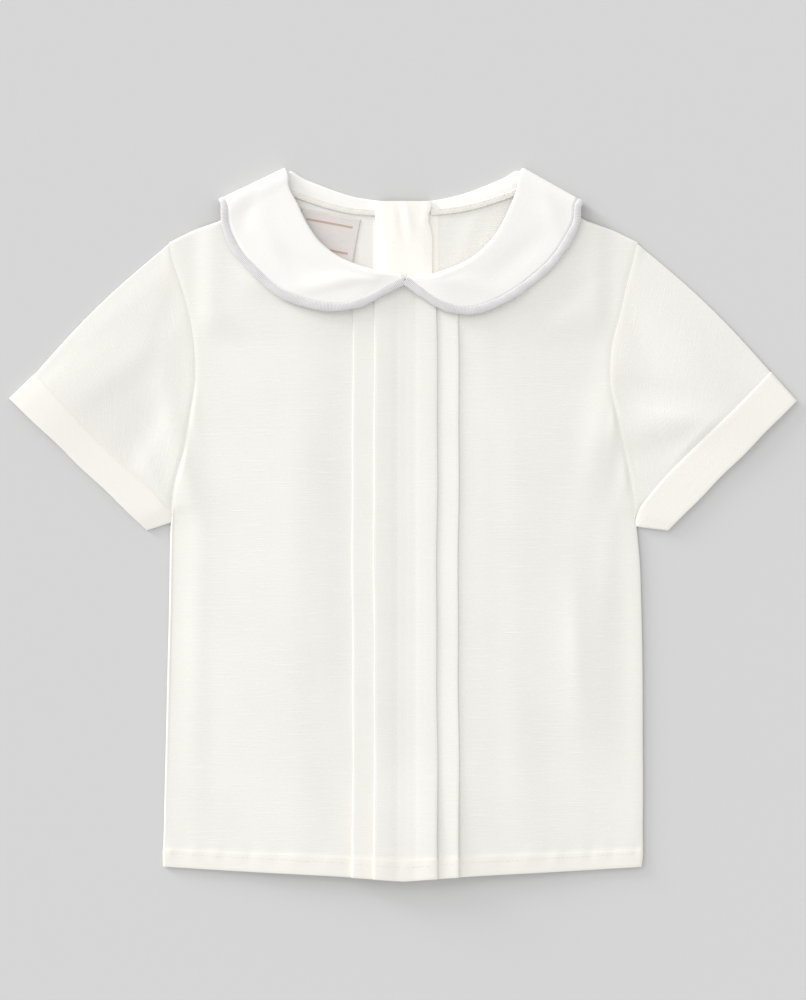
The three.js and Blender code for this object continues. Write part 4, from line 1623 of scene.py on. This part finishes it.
@dataclass
class Cuff:
    """A cuff, folded double, that is sewn to the sleeve along one edge."""

    pattern: Pattern
    side: Side
    around: int = 64
    width: float = 18.0
    thinner: float = 0.5
    tuck_in: float = 2.4
    under_body: float = 1.2
    corner_at: float = 0.30
    corner_power: int = 8
    waver: float = 0.25
    radius: float = 0.205
    double: float = 0.6
    facing_share: float = 0.4
    fold_shares: Span = (0.10, 0.92)
    flats: dict = field(
        default_factory=lambda: {Side.LEFT: ((0.208, 0.036), 0.0073), Side.RIGHT: ((0.208, 0.043), 0.0087)}
    )

    def grid(self, distance: Array) -> Array:
        """Rings at distances from the free edge.

        Args:
            distance: the rows' distances from the edge.

        Returns:
            The rings.
        """
        share = 1 - distance / self.width
        seam = spaced(np.array(CUFF_SEAM[self.side]), self.around)
        top, low = (np.array(p) for p in CUFF_EDGE[self.side])
        part = np.linspace(0, 1, self.around)
        edge = top + (low - top) * part[:, None]
        lines = seam[None] + (edge - seam)[None] * share[:, None, None]
        straight = seam[-1] + (low - seam[-1]) * np.clip(share, 0, 1)[:, None]
        start = seam[-1] + unit(seam[-1] - seam[-2]) * self.tuck_in
        bent = bent_line([start, np.array(CUFF_CORNER[self.side]), low], share, self.corner_at)
        lines = lines + (bent - straight)[:, None] * (part**self.corner_power)[None, :, None]
        waver = self.waver * np.sin(part * 17 + self.side.value) * part * (1 - part) * 4
        outward = unit(np.array([top[1] - low[1], low[0] - top[0]]))
        outward = outward if outward[1] < 0 else -outward
        lines = lines + (waver * np.clip(share, 0, 1)[:, None])[..., None] * outward
        outside = self.pattern.reach(self.side, lines[..., 1]) - self.under_body
        lines[..., 0] = self.side.value * np.maximum(self.side.value * lines[..., 0], outside)
        x, y = lines[..., 0], lines[..., 1]
        at_folds = 1 - eased(part, 0, self.fold_shares[0]) * eased(part, 1, self.fold_shares[1])
        upper = self.pattern.front_z(x, y) - self.thinner * at_folds[None]
        return flat_tube(lines, upper, np.full(upper.shape, BASE), FOLD_REACH)

    def build(self, linen: Material) -> Piece:
        """Makes the cuff.

        Args:
            linen: the cloth's material.

        Returns:
            The piece.
        """
        hem = Hem(depth=self.width, radius=self.radius, inner_rows=10, outer_rows=14, foot=0.0)
        turned_in = np.array([(0.15, 0.7 * self.radius), (0.3, 0.0), (0.38, -self.radius)])
        distance, off = np.concatenate([hem.rows(), turned_in + np.array([self.width, 0.0])]).T
        points = raised(self.grid, distance, off * -self.side.value)
        flat = np.empty(points.shape[:2] + (2,))
        flat[..., 0] = chords(points[len(points) // 2])
        flat[..., 1] = chords(points[:, 20])[:, None]
        double = np.full(points.shape[:2], self.double)
        masks = {"double": double, "facing": self.facing_share * double}
        piece = Sheet(f"cuff_{self.side.word}_cloth", points, flat, ring=True, masks=masks).build()
        dress(piece, linen, "linen", f"cuff_{self.side.word}")
        return piece


@dataclass
class Collar:
    """A collar half: the stand at the neck seam, the roll, and the leaf that lies on the shoulder."""

    pattern: Pattern
    side: Side
    thickness: float = 0.7
    stand_steps: int = 4
    rise: float = 0.63
    roll_steps: int = 10
    leaf_steps: int = 16
    rows: int = 150
    flat: Span = (0.270, 0.052)
    area: float = 0.0073
    edging_width: float = 4.9
    edging_height: float = 1.4
    overlap: float = 0.9
    thread: float = 0.72
    relief_wide: Span = (0.10, 0.14)
    relief_tall: Span = (0.12, 0.16)
    edging_over_floor: float = 0.02
    tip_pull: float = 2.0
    slant: float = 0.03
    over_floor: float = 0.04
    narrower_at_shoulder: float = 0.25
    narrow_reach: float = 14.0
    under_binding: float = 1.8
    fold_rows: int = 8
    details: dict = field(
        default_factory=lambda: {
            Side.LEFT: (
                Crease(-33, 131, 12, 26, 4.0, 0.8, 0.2),
                Crease(-55, 139, 150, 20, 5.0, -0.6),
                Crease(-72, 152, 118, 18, 5.0, 0.5),
                Crease(-84, 168, 70, 14, 4.5, -0.4),
            ),
            Side.RIGHT: (
                Crease(40, 128, 165, 24, 5.0, 0.45),
                Crease(62, 144, 40, 18, 6.0, -0.5),
                Crease(80, 166, 112, 14, 4.5, 0.45),
            ),
        }
    )

    def section(
        self, width: float, seam: float, stand_z: float, roll_z: float, edge_z: float, rise: float = 0.0
    ) -> Array:
        """Distance from the roll line and height, from the stand's edge round the roll to the outer edge.

        Args:
            width: how far the leaf reaches from the roll line.
            seam: how far the stand reaches from it.
            stand_z: height of the neck seam.
            roll_z: height of the roll.
            edge_z: height of the outer edge.
            rise: how far the stand rises from the seam to the roll.

        Returns:
            The section's points, as pairs of distance and height.
        """
        radius = (roll_z - stand_z) / 2
        centre = radius + self.thickness / 2
        s = np.linspace(seam, centre, self.stand_steps + 1)[:-1]
        stand = np.stack([s, stand_z + rise * eased(s, centre, 6.0)], 1)
        angles = np.linspace(0, math.pi, self.roll_steps + 1)
        roll = np.stack([centre - radius * np.sin(angles), stand_z + radius * (1 - np.cos(angles))], 1)
        share = np.linspace(0, 1, self.leaf_steps + 1)[1:]
        leaf = np.stack([centre + (width - centre) * share, roll_z + (edge_z - roll_z) * share], 1)
        return np.concatenate([stand, roll, leaf])

    def stand_z(self, x: float, y: float) -> float:
        """Height of the neck seam on the front.

        Args:
            x: a place across the garment.
            y: a place up the garment.

        Returns:
            The height.
        """
        tucks = self.pattern.tucks
        over = float(eased(abs(x - CENTRE_X), tucks[1][1], tucks[0][1] - 4))
        plain = float(self.pattern.front_z(x, y))
        return plain + (float(self.pattern.layer(x, y, 5)) - plain) * over

    def planned(
        self, row: FrontRow | BackRow, stand_z: float, roll_z: float, edge_z: float, rise: float = 0.0
    ) -> Array:
        """The points of one row of the collar.

        Args:
            row: its place in plan.
            stand_z: height of the neck seam.
            roll_z: height of the roll.
            edge_z: height of the outer edge.
            rise: how far the stand rises from the seam to the roll.

        Returns:
            Its points.
        """
        roll = np.array([row.roll_x, row.roll_y])
        leaf = np.array([row.edge_x, row.edge_y]) - roll
        width = float(np.linalg.norm(leaf))
        section = self.section(width, row.seam, stand_z, roll_z, edge_z, rise)
        plan = roll + section[:, :1] * leaf / width
        return np.concatenate([plan, section[:, 1:]], axis=1)

    def grid(self) -> Array:
        """The collar from the centre front over the shoulder to the centre back.

        Returns:
            The grid, one row for each place along the collar.
        """
        made = []
        binding = NeckFinish(self.pattern)
        for row in COLLAR_FRONT[self.side]:
            way = unit(np.array([row.edge_x - row.roll_x, row.edge_y - row.roll_y]))
            seam = np.array([row.roll_x, row.roll_y]) + way * row.seam
            made.append(self.planned(row, self.stand_z(*seam), row.roll_z, row.edge_z))
        axis = self.pattern.fold_axis(self.side)
        wide = binding.reach(self.side, 0.0) - self.under_binding
        section = self.section(axis["length"], wide, LEVEL, axis["radius"], axis["radius"], -self.rise)
        for angle in np.linspace(math.pi / 2, -math.pi / 3, self.fold_rows):
            plan = axis["start"] + section[:, :1] * axis["along"]
            plan = plan + section[:, 1:] * math.cos(angle) * axis["outward"]
            made.append(np.concatenate([plan, axis["z"] + section[:, 1:] * math.sin(angle)], axis=1))
        back_rows = COLLAR_BACK[self.side]
        for i, row in enumerate(back_rows):
            way = unit(np.array([row.edge_x - row.roll_x, row.edge_y - row.roll_y]))
            seam = np.array([row.roll_x, row.roll_y]) + way * row.seam
            on_lap = 0.0
            if self.side is Side.LEFT:
                on_lap = float(ramp(seam[0] - CENTRE_X, -self.pattern.lap_foot, -11.0))
            stand = float(self.pattern.layer(*seam, on_lap))
            wide = binding.reach(self.side, max(0, i - 1) / (len(back_rows) - 2)) - self.under_binding
            turned = self.planned(row._replace(seam=wide), -stand, -WALL / 2, -WALL / 2, -self.rise)
            turned[:, 2] *= -1
            made.append(turned)
        rows = np.array(made)
        knots = chords((rows[:, 15] + rows[:, -1]) / 2)
        points = through(knots, rows, np.linspace(0, knots[-1], self.rows))
        front = eased(points[:, :, 2], 2.5, 5.5)
        leaf = np.zeros(points.shape[1])
        leaf[-self.leaf_steps :] = eased(np.arange(self.leaf_steps), 0, 3)
        points[..., 2] += creases(self.details[self.side], points[..., 0], points[..., 1]) * leaf * front
        points[..., 2] = np.maximum(points[..., 2], self.thickness / 2 + self.over_floor)
        return points

    def build(self, linen: Material, overlock: Material) -> Piece:
        """Makes the collar half and its overlocked edge.

        Args:
            linen: the cloth's material.
            overlock: the edging's material.

        Returns:
            The collar half's piece.
        """
        points = self.grid()
        flat = np.empty(points.shape[:2] + (2,))
        flat[..., 0] = chords(points[:, 21])[:, None]
        flat[..., 1] = [chords(row) for row in points]
        order = slice(None, None, self.side.value)
        name = f"collar_{self.side.word}_cloth"
        piece = Sheet(name, points[:, order], flat[:, order], thickness=self.thickness).build()
        dress(piece, linen, "collar_linen", f"collar_{self.side.word}")
        edging = self.edging(points, overlock)
        return piece

    def edging(self, points: Array, overlock: Material) -> Piece:
        """Makes the band of thread round the outer edge: a flat oval that each thread crosses.

        Args:
            points: the collar half's grid.
            overlock: the edging's material.

        Returns:
            The band's piece.
        """
        edge, inside = points[:, -1], points[:, -3]
        knots = chords(edge)
        count = int(knots[-1] / self.thread * 4)
        at = np.linspace(0, knots[-1], count)
        centre = through(knots, edge, at)
        along = unit(np.gradient(centre, axis=0))
        out = through(knots, edge - inside, at)
        out = unit(out - along * np.sum(out * along, axis=1, keepdims=True))
        up = np.cross(along, out)
        up *= np.sign(np.median(up[: count // 3, 2]))
        angles = np.linspace(0, 2 * math.pi, 13)
        reach, height = self.edging_width / 2, self.edging_height / 2
        middle = centre + out * (reach - self.overlap)
        tip = np.array([*EDGING_TIP[self.side], edge[0, 2]])
        pull = np.exp(-at / self.tip_pull)[:, None]
        middle = middle + (tip - middle[0]) * pull
        phase = at[:, None] / self.thread + self.slant * np.cos(angles)[None] * reach
        crest = np.abs(np.cos(math.pi * phase))
        swell = 1 + 0.05 * np.sin(at / 3.1)[:, None] + 0.03 * np.sin(at / 1.3 + 1)[:, None]
        at_shoulder = at - at[np.argmax(np.abs(centre[:, 0]))]
        swell -= self.narrower_at_shoulder * np.exp(-((at_shoulder / self.narrow_reach) ** 2))[:, None]
        wide = (reach - self.relief_wide[0] + self.relief_wide[1] * crest) * np.cos(angles)[None] * swell
        tall = (height - self.relief_tall[0] + self.relief_tall[1] * crest) * np.sin(angles)[None]
        ring = middle[:, None] + out[:, None] * wide[..., None] + up[:, None] * tall[..., None]
        ring[..., 2] = np.maximum(ring[..., 2], self.edging_over_floor)
        flat = np.empty(ring.shape[:2] + (2,))
        flat[..., 0] = at[:, None]
        flat[..., 1] = np.linspace(0, 4 * reach, len(angles))[None]
        name = f"edging_{self.side.word}_thread"
        # the crest mask also places the painted shade between the threads
        piece = Sheet(name, ring, flat, thickness=0.0, ring=True, masks={"crest": crest}).build()
        dress(piece, overlock, "edging", f"edging_{self.side.word}")
        return piece


@dataclass
class NeckFinish:
    """The narrow binding over the edge of the collar's stand inside the back, and the label under it."""

    pattern: Pattern
    widths: dict = field(default_factory=lambda: {Side.LEFT: (11.0, 7.4), Side.RIGHT: (11.0, 7.0)})
    label_at: Span = (-41.0, 154.9)
    label_size: Span = (32.4, 24.4)
    label_turn: float = -0.184
    strip: float = 3.3
    over_back: float = 1.0
    slope: float = 0.06
    stitch_rows: Span = (0.8, 2.6)
    under_leaf: float = 1.0
    trims: dict = field(default_factory=lambda: {Side.LEFT: 2.0, Side.RIGHT: 0.8})
    facing_flat: Span = (0.054, 0.010)
    facing_area: float = 0.00021
    label_flat: Span = (0.0324, 0.0244)

    def reach(self, side: Side, share: float) -> float:
        """How far from the roll line the binding's lower edge lies, at a share of the way to the placket."""
        at_shoulder, at_placket = self.widths[side]
        return FOLD_REACH - WALL / 2 + at_shoulder + (at_placket - at_shoulder) * share

    def binding_plan(self, side: Side, within: Array, count: int, inset: float = 0.0) -> Array:
        """Plan points of the binding.

        Args:
            side: the side.
            within: distances from its lower edge.
            count: how many rows, from under the front leaf to under the placket.
            inset: how far from its ends the rows start and stop.

        Returns:
            A grid of rows by distances.
        """
        roll = np.array([(row.roll_x, row.roll_y) for row in COLLAR_BACK[side]])
        edge = np.array([(row.edge_x, row.edge_y) for row in COLLAR_BACK[side]])
        onward = unit(roll[0] - roll[1]) * self.under_leaf
        roll = np.concatenate([[roll[0] + onward], roll])
        edge = np.concatenate([[edge[0] + onward], edge])
        knots = chords(roll)
        at = np.linspace(inset, knots[-1] - self.trims[side] - inset, count)
        share = ramp(at, knots[2], knots[-1])
        lower = np.array([self.reach(side, part) for part in share])
        way = unit(through(knots, unit(edge - roll), at))
        return through(knots, roll, at)[:, None] + way[:, None] * (lower[:, None] - within[None])[..., None]

    def binding(self, side: Side, linen: Material) -> Piece:
        """Makes one side's binding, with a row of dents where it is stitched.

        Args:
            side: the side.
            linen: the cloth's material.

        Returns:
            The piece.
        """
        within = np.array([0, 0.1, 0.25, 0.5, 0.8, 1.2, 1.6, 2.0, 2.4, 2.75, 3.0, 3.2, 3.3])
        rows = 110
        plan = self.binding_plan(side, within, rows)
        along = np.linspace(0, 1, rows)[:, None] * 54
        stitched = sum(np.exp(-(((within - at) / 0.3) ** 2)) for at in self.stitch_rows)
        rounded = eased(within, 0, 0.35) * eased(within, self.strip, self.strip - 0.35)
        wave = 0.05 * np.sin(along / 1.35 + np.sin(along / 7)) * rounded[None]
        z = self.pattern.layer(plan[..., 0], plan[..., 1], 0) + self.over_back + self.slope * within[None]
        z = z + 0.2 * (rounded[None] - 1) + wave - 0.09 * stitched[None]
        points = np.concatenate([plan, z[..., None]], axis=2)
        flat = np.stack(np.broadcast_arrays(along, within[None]), axis=2)
        if side is Side.LEFT:
            points, flat = points[:, ::-1], flat[:, ::-1]
        double = np.full(z.shape, 0.7)
        name = f"neck_binding_{side.word}_cloth"
        piece = Sheet(name, points, flat, thickness=0.36, masks={"double": double}).build()
        dress(piece, linen, "linen", f"neck_facing_{side.word}")
        return piece

    def seam_line(self, side: Side, within: float, count: int) -> Array:
        """A line on the binding's outer face, for stitches.

        Args:
            side: the side.
            within: distance from the binding's lower edge.
            count: how many points.

        Returns:
            The line's points.
        """
        plan = self.binding_plan(side, np.array([within]), count, 1.0)[:, 0]
        z = self.pattern.layer(plan[:, 0], plan[:, 1], 0) + self.over_back + self.slope * within + 0.12
        return np.concatenate([plan, z[:, None]], axis=1)

    def label_point(self, across: Array, up: Array) -> Array:
        """A place on the label, from its own middle.

        Args:
            across: places across the label.
            up: places up the label.

        Returns:
            The points.
        """
        cos, sin = math.cos(self.label_turn), math.sin(self.label_turn)
        x = self.label_at[0] + across * cos - up * sin
        y = self.label_at[1] + across * sin + up * cos
        half_width, half_height = self.label_size[0] / 2, self.label_size[1] / 2
        corner = (across / half_width) ** 2 * eased(-up, 0, half_height)
        bow = 0.30 * np.cos(across / 5.5 + 0.6) * eased(-up, -half_height, half_height)
        z = self.pattern.layer(x, y, 0) + 0.52 + 0.35 * corner + bow * 0.4
        return np.stack([x, y, z], axis=-1)

    def label(self, woven: Material, stitches: "Stitches") -> Piece:
        """Makes the label, bare but for its stripes, and sews its upper edge.

        Args:
            woven: its material.
            stitches: what sews it.

        Returns:
            The piece.
        """
        width, height = self.label_size
        across = np.linspace(-width / 2, width / 2, 48)
        up = np.linspace(-height / 2, height / 2, 36)
        points = self.label_point(across[None, :], up[:, None])
        flat = np.stack(np.broadcast_arrays(across[None, :], up[:, None]), axis=2)
        piece = Sheet("label_ribbon", points, flat, thickness=0.42).build()
        dress(piece, woven, "label", "label")
        top = (np.linspace(-width / 2 + 1, width / 2 - 1, 60), np.full(60, height / 2 - 1.2))
        side = (np.full(50, width / 2 - 1.0), np.linspace(-height / 2 + 1, height / 2 - 2, 50))
        lines = [self.label_point(*place) + np.array([0, 0, 0.24]) for place in (top, side)]
        sewn = stitches.build("label_stitches", lines, "label")
        return piece


@dataclass
class Stitches:
    """Rows of machine stitches: one low-sided stitch, copied along lines on the cloth."""

    material: Material
    length: float = 2.1
    pitch: float = 2.7
    radius: float = 0.14
    arch: float = 0.08
    lean: float = 0.05

    def one(self) -> tuple[Array, list[tuple[int, ...]]]:
        """One stitch along X, as points in millimetres and faces, in the same order on each run.

        Returns:
            The points and the faces.
        """
        bpy.ops.object.select_all(action="DESELECT")
        bpy.ops.mesh.primitive_uv_sphere_add(segments=6, ring_count=5, radius=1)
        ball = bpy.context.object
        co = np.array([v.co for v in ball.data.vertices])
        order = np.lexsort(np.round(co, 4).T)
        co, rank = co[order], np.argsort(order)
        ranked = [rank[list(p.vertices)] for p in ball.data.polygons]
        faces = sorted(tuple(np.roll(face, -np.argmin(face)).tolist()) for face in ranked)
        bpy.data.objects.remove(ball, do_unlink=True)
        along = np.sign(co[:, 2]) * np.abs(co[:, 2]) ** 0.7
        x = along * self.length / 2
        z = co[:, 0] * self.radius - self.arch * along**2
        return np.stack([x, co[:, 1] * self.radius, z], axis=1), faces

    def build(self, name: str, lines: list[Array], slot: str = "linen") -> Piece:
        """Makes one piece of all the stitches along the lines.

        Args:
            name: the piece's name.
            lines: points in millimetres on the cloth's face.
            slot: the material slot.

        Returns:
            The piece.
        """
        stitch, faces = self.one()
        points, all_faces = [], []
        for line in lines:
            knots = chords(line)
            for k, at in enumerate(np.arange(self.pitch / 2, knots[-1] - self.pitch / 2, self.pitch)):
                place = through(knots, line, np.array([at - PROBE, at, at + PROBE]))
                along = unit(place[2] - place[0] + np.array([0, 0, 1e-6]))
                lean = self.lean * math.sin(1.9 * k)
                across = unit(np.array([-along[1], along[0], 0.0]))
                along = unit(along + across * lean)
                up = np.cross(along, across)
                base = sum(len(p) for p in points)
                frame3 = np.stack([along, across, up])
                points.append(place[1] + stitch @ frame3)
                all_faces += [tuple(base + i for i in face) for face in faces]
        mesh = bpy.data.meshes.new(name)
        mesh.from_pydata((np.concatenate(points) * MM).tolist(), [], all_faces)
        piece = bpy.data.objects.new(name, mesh)
        bpy.context.scene.collection.objects.link(piece)
        mesh.polygons.foreach_set("use_smooth", np.ones(len(mesh.polygons), bool))
        dress(piece, self.material, slot)
        return piece


@dataclass
class Sewing:
    """The seams that show on the cloth."""

    pattern: Pattern
    front: Front
    neck: NeckFinish
    hem_line: float = 7.4

    def hem(self) -> list[Array]:
        """The hem's stitches, broken at the folds of the tucks.

        Returns:
            The lines to stitch along.
        """
        edge_1, edge_2 = (edge for _, edge in self.pattern.tucks)
        spans = [(-127.0, -edge_2 - 1.0), (-edge_2 + 0.8, -edge_1 - 1.0), (-edge_1 + 0.8, edge_1 - 0.8)]
        spans += [(edge_1 + 1.0, edge_2 - 0.8), (edge_2 + 1.0, 126.0)]
        lines = []
        for start, end in spans:
            x = CENTRE_X + np.arange(start, end, 1.2)
            y = self.pattern.hem_y(x) + self.hem_line - 0.1 * (np.abs(x - CENTRE_X) < edge_2)
            lines.append(np.stack([x, y, self.front.top_z(x, y) + 0.18], axis=1))
        return lines

    def tucks(self) -> list[Array]:
        """The stitches along the roots of the inner tucks.

        Returns:
            The lines to stitch along.
        """
        root = self.pattern.tucks[0][0]
        lines = []
        for sign in (-1, 1):
            y = np.arange(-182.0, 128.0, 1.5)
            x = np.full(len(y), CENTRE_X + sign * (root - 0.1)) + 0.12 * np.sin(y / 23)
            lines.append(np.stack([x, y, self.front.top_z(x, y) - 0.22], axis=1))
        return lines

    def neck_lines(self) -> list[Array]:
        """The stitches of the binding and of the button facing.

        Returns:
            The lines to stitch along.
        """
        lines = [self.neck.seam_line(side, within, 60) for side in Side for within in self.neck.stitch_rows]
        y = np.arange(100.0, 172.0, 1.5)
        x = np.full(len(y), CENTRE_X - 15.0)
        z = self.pattern.layer(x, y, 1.33) + CLOTH / 2 - 0.02
        lines.append(np.stack([x, y, z], axis=1))
        return lines

    def build(self, stitches: Stitches) -> None:
        """Makes the stitches.

        Args:
            stitches: what sews them.
        """
        stitches.build("hem_stitches", self.hem())
        stitches.build("tuck_stitches", self.tucks())
        stitches.build("neck_stitches", self.neck_lines())


@dataclass
class Buttons:
    """Five flat buttons with a raised rim and four holes, and the thread that shows of the top one."""

    pattern: Pattern
    radius: float = 5.0
    thickness: float = 1.8
    dish: float = 0.5
    rim: float = 1.1
    rim_slope: float = 0.35
    rounding: float = 0.28
    hole: float = 0.65
    hole_at: float = 1.15
    pitch: float = 76.0
    top_y: float = 163.9
    count: int = 5

    def blank(self) -> Piece:
        """One button at the origin: a disc with a dished face, rounded edges and four holes.

        Returns:
            The button.
        """
        bpy.ops.object.select_all(action="DESELECT")
        radius, thickness = self.radius * MM, self.thickness * MM
        middle = (0, 0, thickness / 2)
        bpy.ops.mesh.primitive_cylinder_add(vertices=48, radius=radius, depth=thickness, location=middle)
        button = bpy.context.object
        bpy.ops.object.transform_apply(location=True)

        def dish() -> None:
            """Insets the upper face and lowers it."""
            bpy.ops.mesh.select_all(action="DESELECT")
            bpy.ops.object.mode_set(mode="OBJECT")
            for face in button.data.polygons:
                face.select = face.normal.z > 0.9
            bpy.ops.object.mode_set(mode="EDIT")
            bpy.ops.mesh.inset(thickness=self.rim * MM, depth=0)
            bpy.ops.mesh.inset(thickness=self.rim_slope * MM, depth=-self.dish * MM)

        edit(button, dish)
        sharp = math.radians(40)
        finish(button, "BEVEL", width=self.rounding * MM, segments=3, limit_method="ANGLE", angle_limit=sharp)
        hole, away = self.hole * MM, self.hole_at * MM
        for k in range(4):
            turn = math.pi / 4 + k * math.pi / 2
            place = (away * math.cos(turn), away * math.sin(turn), thickness / 2)
            bpy.ops.object.select_all(action="DESELECT")
            bpy.ops.mesh.primitive_cylinder_add(vertices=16, radius=hole, depth=0.006, location=place)
            drill = bpy.context.object
            bpy.ops.object.transform_apply(location=True)
            finish(button, "BOOLEAN", operation="DIFFERENCE", object=drill, solver="EXACT")
            bpy.data.objects.remove(drill, do_unlink=True)
        return button

    def build(self, pearl: Material, thread: Material) -> None:
        """Makes the buttons and the thread cross over the top one.

        Args:
            pearl: the buttons' material.
            thread: the thread's material.
        """
        blank = self.blank()
        for k in range(self.count):
            piece = bpy.data.objects.new(f"button_{k + 1}_pearl", blank.data.copy())
            bpy.context.scene.collection.objects.link(piece)
            co = np.array([v.co for v in piece.data.vertices])
            co += np.array([CENTRE_X, self.top_y - k * self.pitch, 0.0]) * MM
            piece.data.vertices.foreach_set("co", co.ravel())
            piece.data.update()
            dress(piece, pearl, "button", f"button_{k + 1}")
        bpy.data.objects.remove(blank, do_unlink=True)
        cross = Stitches(thread, length=3.1, pitch=3.2, radius=0.24, arch=0.25)
        middle = np.array([CENTRE_X + 1.3, self.top_y, float(self.pattern.layer(CENTRE_X, self.top_y, 2))])
        lines = []
        for turn in (0.7, 2.25):
            way = np.array([math.cos(turn), math.sin(turn), 0.0]) * 3.3
            middle[2] += 0.12
            lines.append(np.stack([middle - way / 2, middle, middle + way / 2]) + np.array([0, 0, CLOTH / 2]))
        cross.build("button_threads", lines, "linen")


class SoftLight(NamedTuple):
    """A wide soft light: strength, degrees above the floor, compass turn and spread in degrees."""

    name: str
    strength: float
    height: float
    side: float
    spread: float

    def build(self) -> None:
        """Adds the light."""
        bpy.ops.object.light_add(type="SUN", location=(-1.0, 1.0, 1.2))
        light = bpy.context.object
        light.name = self.name
        light.data.angle = math.radians(self.spread)
        light.data.energy = self.strength
        light.rotation_euler = (math.radians(90 - self.height), 0.0, math.radians(self.side))


@dataclass
class Studio:
    """The floor, the soft light from the upper left, and the camera straight above."""

    view_height: float = 0.540
    centre: Span = (-0.0001, 0.01274)
    distance: float = 2.4
    sky: float = 0.832
    lights: tuple[SoftLight, ...] = (
        SoftLight("high_light", 0.62, 33.0, 228.0, 34.0),
        SoftLight("low_light", 2.15, 9.0, 232.0, 17.0),
    )

    def build(self) -> None:
        """Makes the floor, the lights and the camera."""
        scene = bpy.context.scene
        scene.view_settings.view_transform = "Standard"
        bpy.ops.object.select_all(action="DESELECT")
        bpy.ops.mesh.primitive_plane_add(size=6.0)
        floor = bpy.context.object
        floor.name = "floor"
        floor.data.materials.append(PaleFloor().make())
        world = bpy.data.worlds.new("studio")
        world.use_nodes = True
        background = world.node_tree.nodes["Background"]
        background.inputs[0].default_value = (1.0, 1.0, 1.0, 1)
        background.inputs[1].default_value = self.sky
        scene.world = world
        for light in self.lights:
            light.build()
        bpy.ops.object.camera_add(location=(*self.centre, self.distance), rotation=(0, 0, 0))
        camera = bpy.context.object
        camera.data.sensor_fit = "VERTICAL"
        camera.data.sensor_height = 36.0
        camera.data.lens = 36.0 * self.distance / self.view_height
        camera.data.clip_end = 20.0
        scene.camera = camera


def main() -> None:
    """Builds the blouse and its studio."""
    logging.basicConfig(level=logging.INFO, format="%(message)s")
    pattern = Pattern()
    linen = Linen().make()
    collar_linen = Linen(
        name="collar_linen",
        colour=(0.905, 0.898, 0.868, 1),
        shade=(0.885, 0.877, 0.845, 1),
        pale=(0.925, 0.920, 0.895, 1),
        slubs=0.35,
    ).make()
    overlock = Overlock().make()
    thread = SewingThread().make()
    front = Front(pattern)
    front.build(linen)
    for side in Side:
        Back(pattern, side=side).build(linen)
        Sleeve(pattern, side).build(linen)
        Cuff(pattern, side).build(linen)
        Collar(pattern, side).build(collar_linen, overlock)
    neck = NeckFinish(pattern)
    for side in Side:
        neck.binding(side, linen)
    stitches = Stitches(thread)
    neck.label(WovenLabel().make(), stitches)
    Sewing(pattern, front, neck).build(stitches)
    Buttons(pattern).build(Pearl().make(), thread)
    Studio().build()


if __name__ == "__main__":
    main()
